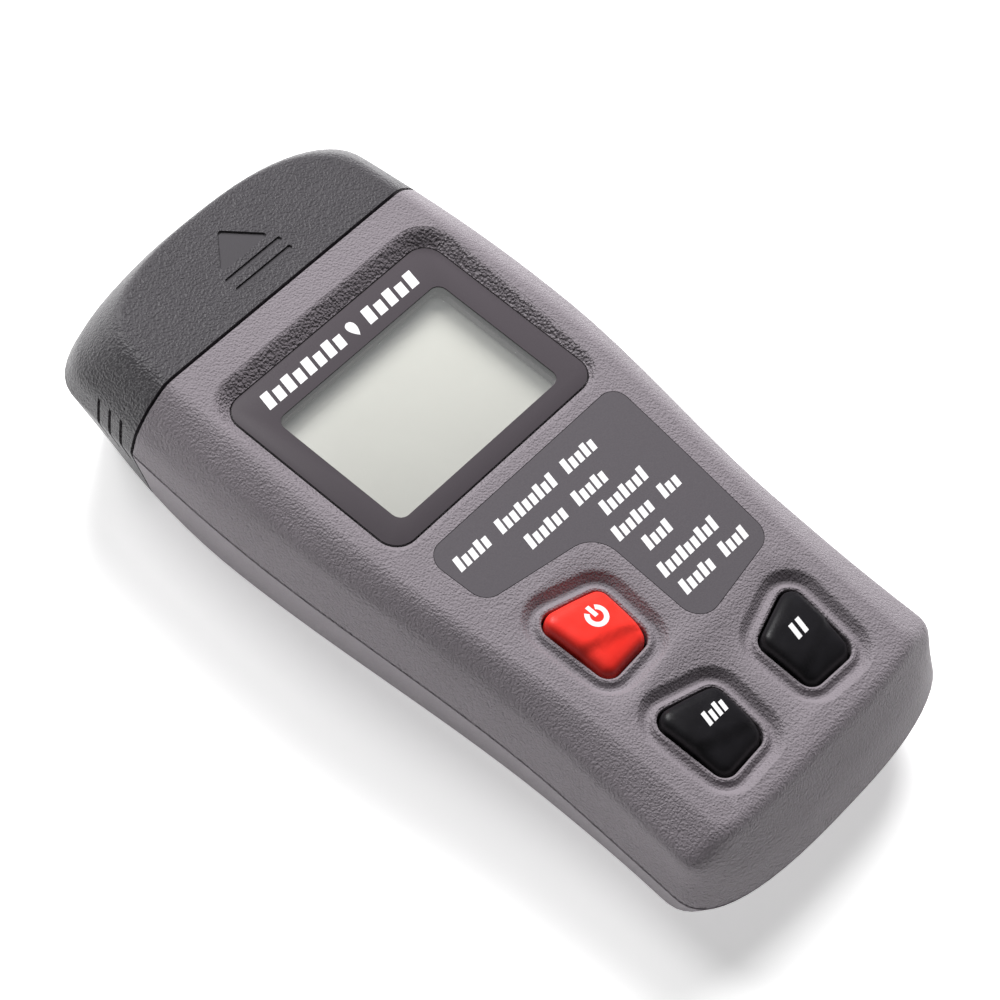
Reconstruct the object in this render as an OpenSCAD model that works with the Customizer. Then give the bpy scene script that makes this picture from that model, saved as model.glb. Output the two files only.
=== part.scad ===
// Two-pin moisture meter for wood: a hand-held case lying on its back.
// X runs across the case, +Y towards the pins and their cap, +Z out of the front face.
// The origin is on the table under the middle of the closed meter.

/* [Case] */
// Length over everything, cap on
overall_len = 135.6; // [134:0.2:137]
// Thickness at the cap end
case_height = 29.5; // [29.5:0.1:30.5]
// Greatest width, at the head of the case
head_w = 66.6; // [66:0.2:68]
// Width of the grip end
foot_w = 58.2; // [57.6:0.2:59.4]
// Radius of the long curve of the front face
face_radius = 940; // [900:10:1000]
// Moulded wall thickness
wall = 2; // [1.8:0.1:2.2]
// Depth of the joint between the two shells below the front face
joint_depth = 11.4; // [11:0.1:12]

/* [Cap] */
// Length of the cap from its mouth to its nose
cap_len = 22.8; // [22.8:0.1:23.6]
// Wall thickness of the cap
cap_wall = 1.8; // [1.6:0.1:1.9]
// Gap between the cap and the neck it slides over
cap_gap = 0.4; // [0.35:0.05:0.5]
// Length of the neck inside the cap
neck_len = 7.5; // [7:0.1:7.6]

/* [Display] */
// Width of the clear window
window_w = 36; // [34:0.2:37]
// Height of the clear window
window_h = 24.8; // [23:0.2:25.4]
// Width of the lens plate
lens_w = 45; // [44:0.2:45.4]
// Height of the lens plate
lens_h = 35; // [34:0.2:35.4]
// Thickness of the lens plate
lens_t = 1.4; // [1.2:0.1:1.5]

/* [Keys] */
// How far a key goes down
key_travel = 1; // [0.8:0.1:1]
// Gap round each key
key_gap = 0.35; // [0.3:0.05:0.4]
// Height of the key tops above the floor of their dish
key_rise = 2.4; // [2:0.1:2.6]
// Depth of the dish round each key
dish_depth = 1.2; // [1:0.1:1.3]

/* [Probe] */
// Distance between the two pins
pin_spacing = 26; // [24:0.5:27]
// Diameter of a pin
pin_d = 1.8; // [1.6:0.1:1.9]
// Length of a pin's straight part ahead of its nut
pin_straight = 5; // [4:0.1:5]
// Length of a pin's point
pin_point = 3.2; // [2.6:0.1:3.2]

/* [Power] */
// Diameter of a battery cell
cell_d = 10.5; // [10.3:0.1:10.5]
// Length of a battery cell over its terminal
cell_len = 44.5; // [44:0.1:44.5]
// Thickness of the battery door
door_t = 1.6; // [1.4:0.1:1.6]

/* [Hidden] */

eps = 0.02;
nose_y = overall_len / 2;
tail_y = -overall_len / 2;
seam_y = nose_y - cap_len;
neck_y = seam_y + neck_len;
head_half = head_w / 2;
foot_half = foot_w / 2;
flat_y = 52.5;

// ---- the outer form: one function for each line that runs round the case ----
// Height of the front face: flat at the cap, then a long arc down to the tail
function face(y) = case_height - pow(max(0, flat_y - y), 2) / (2 * face_radius);
// Slope of the front face at a place, in degrees
function face_tilt(y) = atan(max(0, flat_y - y) / face_radius);
function ease(t) = let (c = min(1, max(0, t))) c * c * (3 - 2 * c);
// Half width that swells from a narrow foot to a wide head, then draws in towards the nose
function flank(y, wide, foot, from_y, to_y, drawn, peak_y, drawn_len) =
    wide - (wide - foot) * ease((from_y - y) / (from_y - to_y))
    - drawn * pow(max(0, y - peak_y) / drawn_len, 2);
joint_half = function (y) flank(y, head_half, foot_half, 25, -38, 0.7, 25, 20);
shoulder_half = function (y) flank(y, head_half - 2.4, foot_half - 1.7, 15, -30, 1.7, 15, 30)
    + 0.9 * pow(max(0, -38 - y) / 20, 2);
face_half = function (y) flank(y, head_half - 6.9, foot_half - 7, 12, -45, 1.2, 12, 33);
back_half = function (y) flank(y, head_half - 4.8, foot_half - 4.4, 30, -35, 1.4, 28, 17)
    + 0.5 * pow(max(0, -40 - y) / 15, 2);

// A line round the case: half width, widening, drop below the face or height above the table,
// distance in from the tail and from the nose, corner length and squareness at each
joint_line = [joint_half, 0, -joint_depth, 0, 0, 9, 2.6, 10, 2.6];
flank_line = [joint_half, -0.75, -7, 2.2, 1.2, 8, 2.8, 10.5, 2.6];
shoulder_line = [shoulder_half, 0, -3.1, 4.8, 2.8, 6.5, 3, 11, 2.6];
roll_line = [face_half, 1, -0.55, 6.2, 3.9, 4.5, 4.5, 12, 2.6];
face_line = [face_half, -0.4, 0, 7.8, 4.6, 4, 5, 12, 2.6];
back_line = [back_half, 0.35, 1.6, 2.7, 1.6, 9, 2.6, 10, 2.6];
heel_line = [back_half, -0.9, 0.35, 3.5, 2.2, 9, 2.6, 10, 2.6];
sole_line = [back_half, -2.2, 0, 4.6, 3.4, 9, 2.6, 10, 2.6];

corner_steps = 6;
side_steps = 8;
function flip(list) = [for (i = [len(list) - 1:-1:0]) list[i]];
function across(list) = [for (p = list) [-p.x, p.y, p.z]];
function line_z(line, y, inset) = line[2] > 0 || line == sole_line ? line[2] + inset
    : face(y) + line[2] - inset;
// One side of a line, from the middle of its closed end to its open mouth
function half_loop(line, inset, drop, end_y, mouth_y, corner, square, way) =
    let (half = line[0], corner_y = end_y + way * corner)
    concat(
        [for (i = [0:corner_steps - 1])
            let (a = 90 * (i + 0.5) / corner_steps,
                 y = end_y + way * corner * (1 - pow(cos(a), 2 / square)))
            [(half(y) + line[1] - inset) * pow(sin(a), 2 / square), y, line_z(line, y, drop)]],
        [for (i = [0:side_steps])
            let (y = corner_y + (mouth_y - corner_y) * i / side_steps)
            [half(y) + line[1] - inset, y, line_z(line, y, drop)]]);
// Body lines close at the tail and open at the mouth
function body_loop(line, inset = 0, drop = 0, mouth_y = seam_y) =
    let (h = half_loop(line, inset, drop, tail_y + line[3] + inset, mouth_y, line[5], line[6], 1))
    concat(flip(across(h)), h);
// Cap lines close at the nose
function cap_loop(line, inset = 0, drop = 0, mouth_y = seam_y) =
    let (h = half_loop(line, inset, drop, nose_y - line[4] - inset, mouth_y, line[7], line[8], -1))
    concat(flip(h), across(h));
// Neck lines close at a blunt end
function neck_loop(line, inset, drop, end_y, mouth_y) =
    let (h = half_loop(line, inset, drop, end_y, mouth_y, 3, 4, -1))
    concat(flip(h), across(h));

// A solid through loops listed from the lowest to the highest
module loft(loops) {
    n = len(loops[0]);
    top = (len(loops) - 1) * n;
    sides = [for (j = [0:len(loops) - 2]) for (i = [0:n - 1])
        let (a = j * n + i, b = j * n + (i + 1) % n)
        each [[a, a + n, b + n], [a, b + n, b]]];
    caps = [for (i = [0:n / 2 - 2])
        let (a = i, b = n - 1 - i)
        each [[a, a + 1, b - 1], [a, b - 1, b],
              [top + a, top + b, top + b - 1], [top + a, top + b - 1, top + a + 1]]];
    polyhedron(points = [for (l = loops) each l], faces = concat(sides, caps));
}

// ---- outlines with round corners ----
function unit(v) = v / norm(v);
function spoke(pts, i, step) = unit(pts[(i + step + len(pts)) % len(pts)] - pts[i]);
function half_angle(pts, i) = acos(spoke(pts, i, -1) * spoke(pts, i, 1)) / 2;
function inward(pts, i) = unit(spoke(pts, i, -1) + spoke(pts, i, 1));
// Convex outline moved outwards by d
function grow(pts, d) = [for (i = [0:len(pts) - 1])
    pts[i] - inward(pts, i) * d / sin(half_angle(pts, i))];
function rounded(pts, radii, steps = 5) = [for (i = [0:len(pts) - 1])
    let (r = is_list(radii) ? radii[i] : radii, h = half_angle(pts, i),
         c = pts[i] + inward(pts, i) * r / sin(h),
         a = pts[i] + spoke(pts, i, -1) * r / tan(h) - c,
         b = pts[i] + spoke(pts, i, 1) * r / tan(h) - c,
         w = 180 - 2 * h)
    for (k = [0:steps]) c + (a * sin(w * (1 - k / steps)) + b * sin(w * k / steps)) / sin(w)];
function box_pts(w, h, cy = 0) = [[-w / 2, cy - h / 2], [w / 2, cy - h / 2],
    [w / 2, cy + h / 2], [-w / 2, cy + h / 2]];
// A slab between two outlines with the same number of points
module tapered(low, high, z0, z1) {
    n = len(low);
    polyhedron(
        points = concat([for (p = low) [p.x, p.y, z0]], [for (p = high) [p.x, p.y, z1]]),
        faces = concat([[for (i = [0:n - 1]) i]], [[for (i = [n - 1:-1:0]) n + i]],
            [for (i = [0:n - 1]) each [[i, i + n, (i + 1) % n + n], [i, (i + 1) % n + n, (i + 1) % n]]]));
}
module slab(pts, z0, z1) {
    translate([0, 0, z0]) linear_extrude(z1 - z0) polygon(pts);
}
module rod(p, r, len) { translate(p) rotate([-90, 0, 0]) cylinder(r = r, h = len, $fn = 48); }
module post(p, r, z0, z1) { translate([p.x, p.y, z0]) cylinder(r = r, h = z1 - z0, $fn = 48); }
module mirrored() { children(); mirror([1, 0, 0]) children(); }

// ---- places ----
window_y = 17.5;
lens_y = 19.25;
lens_top = 27.4;
border_t = 0.1;
seat_z = lens_top - lens_t - border_t;
floor_t = 1.5;
lens_corner = 3.5;
lens_pts = box_pts(lens_w, lens_h, lens_y);
recess_pts = box_pts(lens_w + 4.6, lens_h + 4.2, lens_y + 0.3);
board_top = 18.6;
board_t = 1.6;
board_low = board_top - board_t;
lcd_top = seat_z - floor_t - 0.2;
lcd_t = 2.4;
lcd_w = 40;
lcd_h = 29;

key_pts = [[-5.9, 7.5], [-4.9, -7.3], [5.5, -6.8], [5.9, 4]];
key_corner = 2.4;
power_at = [-11, -26.3];
mode_at = [-10.5, -48];
hold_at = [10.5, -48];
key_low = board_top + key_travel + 0.3;
pill_t = 0.2;
mat_t = 0.8;

label_pts = [[-20.4, -1.5], [-19.6, -12.6], [0.9, -16.2], [0.9, -37], [19.9, -34.4], [22.4, -1.5]];
label_radii = [3, 3.2, 5, 3.6, 3.4, 2.6];
label_t = 0.3;

pin_z = 13.5;
pin_half = pin_spacing / 2;
post_r = 2;
post_back_y = seam_y - 2.5;
nut_y = neck_y + 0.2;
nut_len = 3.8;
nut_front = nut_y + nut_len;
pin_root_y = seam_y + 3.2;

head_boss = [24.6, 36];
foot_boss = [20.5, -53];
screw_len = 14;
head_seat = 7.5;
foot_seat = 4.2;
screw_r = 1.25;
board_post_high = [15, 40.5];
board_post_low = [17, -8];

bay_half = 12.4;
bay_back = -45.5;
bay_front = 4.5;
bay_roof = 13.5;
cell_x = 5.9;
cell_z = 8.1;
left_cell_y = bay_front - 0.8 - cell_len;
right_cell_y = bay_back + 0.8;
door_half = 14.6;
door_back = -49;
door_front = 7.6;
door_gap = 0.3;
ledge_top = 2.9;

// ---- casing ----
module front_boss(at, top) { post(at, 2.9, face(at.y) - joint_depth + eps, top); }
module key_place(at) { translate([at.x, at.y, 0]) children(); }
module on_face(y) { translate([0, y, face(y)]) rotate([face_tilt(y), 0, 0]) children(); }
function key_outline(d) = rounded(grow(key_pts, d), key_corner + d);

module each_key() {
    key_place(power_at) children();
    key_place(mode_at) children();
    key_place(hold_at) mirror([1, 0, 0]) children();
}
module dish(at) {
    translate([at.x, 0, 0]) on_face(at.y) mirror([at.x > 0 ? 1 : 0, 0, 0])
        tapered(key_outline(0.9), key_outline(3.4), -dish_depth, 0.3);
}
module collar(at, low) {
    translate([at.x, at.y, 0]) mirror([at.x > 0 ? 1 : 0, 0, 0])
        slab(key_outline(1.8), low, face(at.y) - dish_depth - 0.3);
}
module face_arc(r) {
    translate([0, flat_y, case_height - face_radius]) rotate([0, 90, 0])
        cylinder(r = r, h = 80, center = true, $fn = 2000);
}

module front_shell() {
    color([0.55, 0.54, 0.55]) difference() {
        union() {
            difference() {
                union() {
                    loft([body_loop(joint_line), body_loop(flank_line), body_loop(shoulder_line),
                        body_loop(roll_line), body_loop(face_line)]);
                    loft([for (l = [joint_line, shoulder_line, face_line])
                        neck_loop(l, cap_wall + cap_gap, l == face_line ? cap_wall + cap_gap : 0,
                            neck_y, seam_y - 1)]);
                }
                loft([body_loop(joint_line, wall, eps, seam_y - wall),
                    body_loop(shoulder_line, wall, 0.9, seam_y - wall),
                    body_loop(face_line, wall * 0.6, wall, seam_y - wall)]);
                loft([for (l = [joint_line, shoulder_line, face_line])
                    neck_loop(l, cap_wall + cap_gap + wall,
                        l == face_line ? cap_wall + cap_gap + wall : l == joint_line ? eps : 0.9,
                        neck_y - wall, seam_y - wall - 1)]);
            }
            mirrored() front_boss(head_boss, 25);
            mirrored() front_boss(foot_boss, 21.9);
            mirrored() post(board_post_high, 2.4, board_top, face(board_post_high.y) - wall / 2);
            mirrored() post(board_post_low, 2.4, board_top, face(board_post_low.y) - wall / 2);
            slab(rounded(box_pts(lens_w + 3.2, lens_h + 3.2, lens_y), lens_corner + 1.6),
                seat_z - floor_t, lens_top);
            collar(power_at, 22.6);
            collar(mode_at, 20.9);
            collar(hold_at, 20.9);
        }
        tapered(rounded(lens_pts, lens_corner), rounded(recess_pts, lens_corner + 2), lens_top - 0.1, 29.7);
        slab(rounded(grow(lens_pts, 0.2), lens_corner), seat_z, 30);
        slab(rounded(box_pts(window_w, window_h, window_y), 1.7), 20, 30);
        dish(power_at);
        dish(mode_at);
        dish(hold_at);
        each_key() slab(key_outline(0), 15, 35);
        difference() {
            slab(rounded(grow_label(0.15), label_radii), 20, 30);
            face_arc(face_radius - label_t);
        }
        mirrored() post(head_boss, screw_r + 0.05, 10, head_seat + screw_len + 0.6);
        mirrored() post(foot_boss, screw_r + 0.05, 10, foot_seat + screw_len + 0.6);
        mirrored() post(board_post_high, 0.95, 10, board_top + 4.8);
        mirrored() post(board_post_low, 0.95, 10, board_top + 4.8);
    }
}
// The label's pocket is a little larger all round, its inner corner included
function grow_label(d) = [label_pts[0] + [-d, d], label_pts[1] + [-d, -d], label_pts[2] + [-d, -d],
    label_pts[3] + [-d, -d], label_pts[4] + [d, -d], label_pts[5] + [d, d]];

module rear_boss(at, seat) {
    post(at, 3.2, wall / 2, seat + 2.5);
    post(at, 3.1, wall / 2, face(at.y) - joint_depth);
}
module rear_boss_hole(at, seat) {
    post(at, 2.5, -1, seat);
    post(at, screw_r + 0.2, seat - eps, 20);
}
module rear_shell() {
    color([0.5, 0.49, 0.5]) difference() {
        union() {
            difference() {
                union() {
                    loft([body_loop(sole_line), body_loop(heel_line), body_loop(back_line),
                        body_loop(joint_line)]);
                    loft([neck_loop(sole_line, cap_wall + cap_gap - 1, cap_wall + cap_gap,
                            neck_y, seam_y - 1),
                        neck_loop(back_line, cap_wall + cap_gap, cap_wall + cap_gap,
                            neck_y, seam_y - 1),
                        neck_loop(joint_line, cap_wall + cap_gap, 0, neck_y, seam_y - 1)]);
                }
                loft([body_loop(sole_line, wall - 1, wall, seam_y - wall),
                    body_loop(back_line, wall, wall, seam_y - wall),
                    body_loop(joint_line, wall, -eps, seam_y - wall)]);
                loft([neck_loop(sole_line, cap_wall + cap_gap + wall - 1, cap_wall + cap_gap + wall,
                        neck_y - wall, seam_y - wall - 1),
                    neck_loop(back_line, cap_wall + cap_gap + wall, cap_wall + cap_gap + wall,
                        neck_y - wall, seam_y - wall - 1),
                    neck_loop(joint_line, cap_wall + cap_gap + wall, -eps,
                        neck_y - wall, seam_y - wall - 1)]);
            }
            mirrored() rear_boss(head_boss, head_seat);
            mirrored() rear_boss(foot_boss, foot_seat);
            // battery bay: walls, roof and the ledge that the door closes against
            slab([[-bay_half - 1.2, bay_back - 1.2], [bay_half + 1.2, bay_back - 1.2],
                [bay_half + 1.2, bay_front + 1.2], [-bay_half - 1.2, bay_front + 1.2]],
                wall / 2, bay_roof + 1.2);
            slab([[-door_half - 1.6, door_back - 0.6], [door_half + 1.6, door_back - 0.6],
                [door_half + 1.6, door_front + 1.8], [-door_half - 1.6, door_front + 1.8]],
                wall / 2, ledge_top);
        }
        slab([[-bay_half, bay_back], [bay_half, bay_back], [bay_half, bay_front],
            [-bay_half, bay_front]], -1, bay_roof);
        slab([[-door_half - door_gap, door_back - door_gap], [door_half + door_gap, door_back - door_gap],
            [door_half + door_gap, door_front + door_gap], [-door_half - door_gap, door_front + door_gap]],
            -1, door_t + 0.1);
        // slots for the two lugs of the door
        mirrored() translate([5, door_back - 3, 0.7]) cube([6, 5, 6]);
        // finger notch and the relief over the latch
        translate([-5, door_front - 0.6, -1]) cube([10, 2.2, ledge_top + 2]);
        mirrored() rear_boss_hole(head_boss, head_seat);
        mirrored() rear_boss_hole(foot_boss, foot_seat);
        // holes for the two pin nuts
        mirrored() rod([pin_half, neck_y - wall - 1, pin_z], 3.4, wall + 2);
        // wire slots in the front wall of the battery bay
        mirrored() translate([cell_x - 1.2, bay_front - 0.5, cell_z - 1.5]) cube([2.4, 2.5, 8]);
    }
}

// ---- the cap that covers the pins ----
slot_w = 0.8;
slot_depth = 0.9;
// Slot that leans forward and bends at the widest line of the flank
module grip_slot() {
    rotate([-12, -10, 0]) translate([-slot_depth, -slot_w / 2, -0.3]) cube([4, slot_w, 4.6]);
    rotate([-12, 15, 0]) translate([-slot_depth, -slot_w / 2, -5]) cube([4, slot_w, 5]);
}
module pin_cap() {
    color([0.3, 0.29, 0.31]) difference() {
        loft([cap_loop(sole_line), cap_loop(heel_line), cap_loop(back_line), cap_loop(joint_line),
            cap_loop(flank_line), cap_loop(shoulder_line), cap_loop(roll_line), cap_loop(face_line)]);
        loft([cap_loop(sole_line, cap_wall - 1, cap_wall, seam_y - 1),
            cap_loop(back_line, cap_wall, cap_wall, seam_y - 1),
            cap_loop(joint_line, cap_wall, 0, seam_y - 1),
            cap_loop(shoulder_line, cap_wall, 0, seam_y - 1),
            cap_loop(face_line, cap_wall, cap_wall, seam_y - 1)]);
        // grip slots on each flank
        mirrored() for (i = [0:2])
            translate([joint_half(50), 47.4 + 2.5 * i, face(50) - joint_depth]) grip_slot();
        // arrow that shows the way the cap comes off
        translate([0, 0, case_height - 0.35]) {
            linear_extrude(2) polygon([[-5.2, 53.3], [5.2, 53.3], [0, 59]]);
            translate([-5.8, 51.2, 0]) cube([11.6, 0.9, 2]);
            translate([-5.8, 49, 0]) cube([11.6, 0.9, 2]);
        }
    }
}

// ---- display ----
module display_lens() {
    color([0.8, 0.85, 0.85, 0.4])
        slab(rounded(lens_pts, lens_corner), seat_z, lens_top - border_t);
}
module lens_border() {
    color([0.36, 0.34, 0.36]) difference() {
        slab(rounded(lens_pts, lens_corner), lens_top - border_t, lens_top);
        slab(rounded(box_pts(window_w, window_h, window_y), 1.7), 20, 30);
    }
}
module lcd_glass() {
    color([0.8, 0.79, 0.76])
        translate([-lcd_w / 2, window_y - lcd_h / 2, lcd_top - lcd_t]) cube([lcd_w, lcd_h, lcd_t]);
}
module lcd_frame() {
    gap = 0.2;
    rim = 1.4;
    outer_w = lcd_w + 2 * (gap + rim);
    outer_h = lcd_h + 2 * (gap + rim);
    color([0.85, 0.85, 0.83]) difference() {
        slab(box_pts(outer_w, outer_h, window_y), board_top, lcd_top - 0.4);
        slab(box_pts(lcd_w + 2 * gap, lcd_h + 2 * gap, window_y), lcd_top - lcd_t - eps, 30);
        slab(box_pts(lcd_w - 3, lcd_h - 1, window_y), 10, 30);
    }
}
module zebra_strips() {
    color([0.85, 0.35, 0.5]) for (side = [-1, 1])
        translate([-17, window_y + side * (lcd_h / 2 - 2.2) - 1, board_top])
            cube([34, 2, lcd_top - lcd_t - board_top]);
}

// ---- electronics ----
module main_board() {
    color([0.1, 0.4, 0.2]) difference() {
        slab([[-17, -57], [17, -57], [17, -46], [21.4, -42], [21.4, 43.4], [-21.4, 43.4],
            [-21.4, -42], [-17, -46]], board_low, board_top);
        mirrored() post(board_post_high, 1.2, 0, 30);
        mirrored() post(board_post_low, 1.2, 0, 30);
    }
}
module controller_chip() {
    color([0.1, 0.1, 0.1]) translate([-6, 14, board_low - 1.7]) cube([12, 12, 1.7]);
}
module board_components() {
    color([0.75, 0.7, 0.5]) {
        // quartz can, trimmer, capacitor, a row of resistors and two small packages
        translate([10.5, 24.5, board_low - 3.6]) cube([4.6, 10.8, 3.6]);
        translate([-17, 28, board_low - 4.5]) cube([6.6, 6.6, 4.5]);
        post([12.5, 19], 2.6, board_low - 6, board_low);
        for (i = [0:4]) translate([-17.5, 9 + 3 * i, board_low - 0.6]) cube([3.2, 1.6, 0.6]);
        for (i = [0:1]) translate([-2.5, 29.5 - 24 * i, board_low - 1.5]) cube([5, 4, 1.5]);
    }
}

// ---- label and keys ----
module wood_label() {
    color([0.36, 0.34, 0.37]) intersection() {
        slab(rounded(label_pts, label_radii), 20, 30);
        difference() {
            face_arc(face_radius);
            face_arc(face_radius - label_t);
        }
    }
}
module keypad_mat() {
    color([0.25, 0.25, 0.26]) difference() {
        slab(rounded([[-19.6, -15.6], [-19.6, -42], [-16.8, -45], [-16.8, -57], [16.8, -57],
            [16.8, -45], [19.6, -42], [19.6, -15.6]], 1), board_top, board_top + mat_t);
        each_key() slab(key_outline(1.4), 10, 30);
    }
}
// A moulded key: a flange under the shell, a straight shank and a crowned, sloping top
module key_form(at) {
    top = face(at.y) - dish_depth + key_rise;
    tilt = face_tilt(at.y);
    slab(key_outline(0.9), key_low, key_low + 0.6);
    slab(key_outline(-key_gap), key_low, top - 2.6);
    translate([0, 0, top - 3.4]) rotate([tilt, 0, 0])
        tapered(key_outline(-key_gap - 0.15), key_outline(-key_gap - 0.7), 0, 2);
    translate([0, 0, top - 1.4]) rotate([tilt, 0, 0])
        tapered(key_outline(-key_gap - 0.7), key_outline(-key_gap - 2), 0, 1.1);
}
module power_key() { color([0.9, 0.2, 0.17]) key_place(power_at) key_form(power_at); }
module mode_key() { color([0.1, 0.1, 0.11]) key_place(mode_at) key_form(mode_at); }
module hold_key() {
    color([0.1, 0.1, 0.11]) key_place(hold_at) mirror([1, 0, 0]) key_form(hold_at);
}
module pill(at) { color([0.15, 0.15, 0.15]) post(at, 2.4, key_low - pill_t, key_low); }
module power_pill() { pill(power_at); }
module mode_pill() { pill(mode_at); }
module hold_pill() { pill(hold_at); }

// ---- probe ----
module pin_block() {
    color([0.2, 0.2, 0.2]) difference() {
        translate([-pin_half - 5, seam_y - 1, pin_z - 4.2])
            cube([pin_spacing + 10, neck_y - wall - seam_y + 0.6, 7.6]);
        mirrored() rod([pin_half, seam_y - 2, pin_z], post_r + 0.05, 12);
    }
}
module pin_posts() {
    color([0.8, 0.68, 0.35]) mirrored() difference() {
        rod([pin_half, post_back_y, pin_z], post_r, nut_y + 2 - post_back_y);
        rod([pin_half, pin_root_y, pin_z], pin_d / 2 + 0.05, 12);
    }
}
module pin_nuts() {
    color([0.78, 0.78, 0.8]) mirrored() difference() {
        translate([pin_half, nut_y, pin_z]) rotate([-90, 0, 0]) cylinder(r = 3.1, h = nut_len, $fn = 6);
        rod([pin_half, nut_y - 1, pin_z], post_r + 0.05, 3.2);
        rod([pin_half, nut_y, pin_z], pin_d / 2 + 0.1, 5);
    }
}
module probe_pin(side) {
    color([0.85, 0.85, 0.87]) translate([side * pin_half, 0, pin_z]) rotate([-90, 0, 0]) {
        translate([0, 0, pin_root_y + 0.2])
            cylinder(r = pin_d / 2, h = nut_front + pin_straight - pin_root_y - 0.2, $fn = 48);
        translate([0, 0, nut_front + pin_straight])
            cylinder(r1 = pin_d / 2, r2 = 0.08, h = pin_point, $fn = 48);
    }
}
module probe_pin_left() { probe_pin(-1); }
module probe_pin_right() { probe_pin(1); }

// Insulated lead: a round tube swept along points set out by hand
function along(path, i) = unit(path[min(i + 1, len(path) - 1)] - path[max(i - 1, 0)]);
function ring(path, i, r, sides) =
    let (t = along(path, i), u = unit(cross(t, abs(t.x) < 0.8 ? [1, 0, 0] : [0, 0, 1])), v = cross(t, u))
    [for (k = [0:sides - 1]) path[i] + r * (u * cos(360 * k / sides) + v * sin(360 * k / sides))];
module lead(path, r, sides = 8) {
    n = len(path);
    polyhedron(points = [for (i = [0:n - 1]) each ring(path, i, r, sides)],
        faces = concat(
            [[for (k = [0:sides - 1]) k]],
            [[for (k = [sides - 1:-1:0]) (n - 1) * sides + k]],
            [for (i = [0:n - 2]) for (k = [0:sides - 1])
                let (a = i * sides + k, b = i * sides + (k + 1) % sides)
                each [[a, a + sides, b + sides], [a, b + sides, b]]]));
}
probe_path = [[13, 42.5, 13.5], [13, 41.5, 13.5], [13, 40.3, 13.5], [13, 39.2, 13.7],
    [13, 38.3, 14.2], [13, 37.6, 14.9], [13, 37.2, 15.6], [13, 37, 16.3], [13, 37, 17]];
lead_r = 0.6;
module probe_lead_left() {
    color([0.9, 0.9, 0.9]) lead([for (p = flip(probe_path)) [-p.x, p.y, p.z]], lead_r);
}
module probe_lead_right() { color([0.15, 0.15, 0.15]) lead(probe_path, lead_r); }

// ---- batteries, contacts and door ----
module cell(x, y, way) {
    body_len = cell_len - 0.9;
    color([0.25, 0.45, 0.3]) {
        rod([x, way > 0 ? y : y + 0.9, cell_z], cell_d / 2, body_len);
        rod([x, way > 0 ? y + body_len - eps : y, cell_z], 1.9, 0.9 + eps);
    }
}
module cell_left() { cell(-cell_x, left_cell_y, 1); }
module cell_right() { cell(cell_x, right_cell_y, -1); }
module bridge_contact() {
    color([0.85, 0.85, 0.85])
        translate([-cell_x - 4.5, bay_back, cell_z - 4.5]) cube([2 * cell_x + 9, 0.5, 9]);
}
module contact_plate(x) {
    translate([x - 4.2, bay_front - 0.5, cell_z - 4.2]) cube([8.4, 0.5, 8.4]);
    translate([x - 0.9, bay_front - 0.5, cell_z - 1.2]) cube([1.8, 3, 0.5]);
}
module positive_contact() { color([0.85, 0.85, 0.85]) contact_plate(-cell_x); }
module negative_contact() { color([0.85, 0.85, 0.85]) contact_plate(cell_x); }
// Conical coil spring from a wide base at y0 to a narrow end at y1
module coil(x, y0, y1) {
    turns = 3;
    steps = 42;
    lead([for (i = [0:steps])
        let (a = 360 * turns * i / steps, t = i / steps, r = 3.6 - 1.6 * t)
        [x + r * cos(a), y0 + (y1 - y0) * t, cell_z + (y1 > y0 ? 1 : -1) * r * sin(a)]], 0.3, 6);
}
module contact_springs() {
    color([0.8, 0.8, 0.82]) {
        coil(-cell_x, bay_back + 0.85, left_cell_y - 0.35);
        coil(cell_x, bay_front - 0.85, right_cell_y + cell_len + 0.35);
    }
}
red_path = [[-5.9, 7.6, 7.2], [-6, 8.4, 7.3], [-6.3, 9.2, 8], [-6.8, 9.7, 9.2], [-7.6, 9.9, 10.6],
    [-8.5, 10, 12], [-9.3, 10, 13.4], [-9.8, 10, 14.8], [-10, 10, 16], [-10, 10, 17]];
module battery_lead_red() { color([0.8, 0.1, 0.1]) lead(flip(red_path), lead_r); }
module battery_lead_black() {
    color([0.1, 0.1, 0.1]) lead([for (p = red_path) [-p.x, p.y, p.z]], lead_r);
}
module battery_door() {
    color([0.48, 0.47, 0.48]) difference() {
        union() {
            slab([[-door_half, door_back], [door_half, door_back], [door_half, door_front],
                [-door_half, door_front]], 0, door_t);
            mirrored() translate([5.6, door_back - 2.2, 0.9]) cube([4.8, 3, door_t - 0.9]);
            // latch tongue
            translate([-4.4, door_front - 0.5, 0.5]) cube([8.8, 1.2, 1.1]);
        }
        // grip ribs pressed into the outside
        for (i = [0:4]) translate([-6, -4 + 2.2 * i, -1]) cube([12, 1, 1.5]);
    }
}
module door_pad() {
    color([0.2, 0.2, 0.2]) translate([-10, -38, door_t]) cube([20, 34, 1]);
}

// ---- fasteners ----
module screw(at, seat, r, len, head_r, head_h) {
    difference() {
        union() {
            post(at, head_r, seat - head_h, seat);
            post(at, r, seat - eps, seat + len);
        }
        for (a = [0, 90]) translate([at.x, at.y, seat - head_h]) rotate(a)
            translate([-head_r * 0.55, -0.3, -1]) cube([head_r * 1.1, 0.6, 1.7]);
    }
}
module case_screws() {
    color([0.3, 0.3, 0.32]) mirrored() {
        screw(head_boss, head_seat, screw_r, screw_len, 2.2, 1.7);
        screw(foot_boss, foot_seat, screw_r, screw_len, 2.2, 1.7);
    }
}
module board_screws() {
    color([0.75, 0.75, 0.77]) mirrored() {
        screw(board_post_high, board_low, 0.9, 6, 1.9, 1.3);
        screw(board_post_low, board_low, 0.9, 6, 1.9, 1.3);
    }
}

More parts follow.
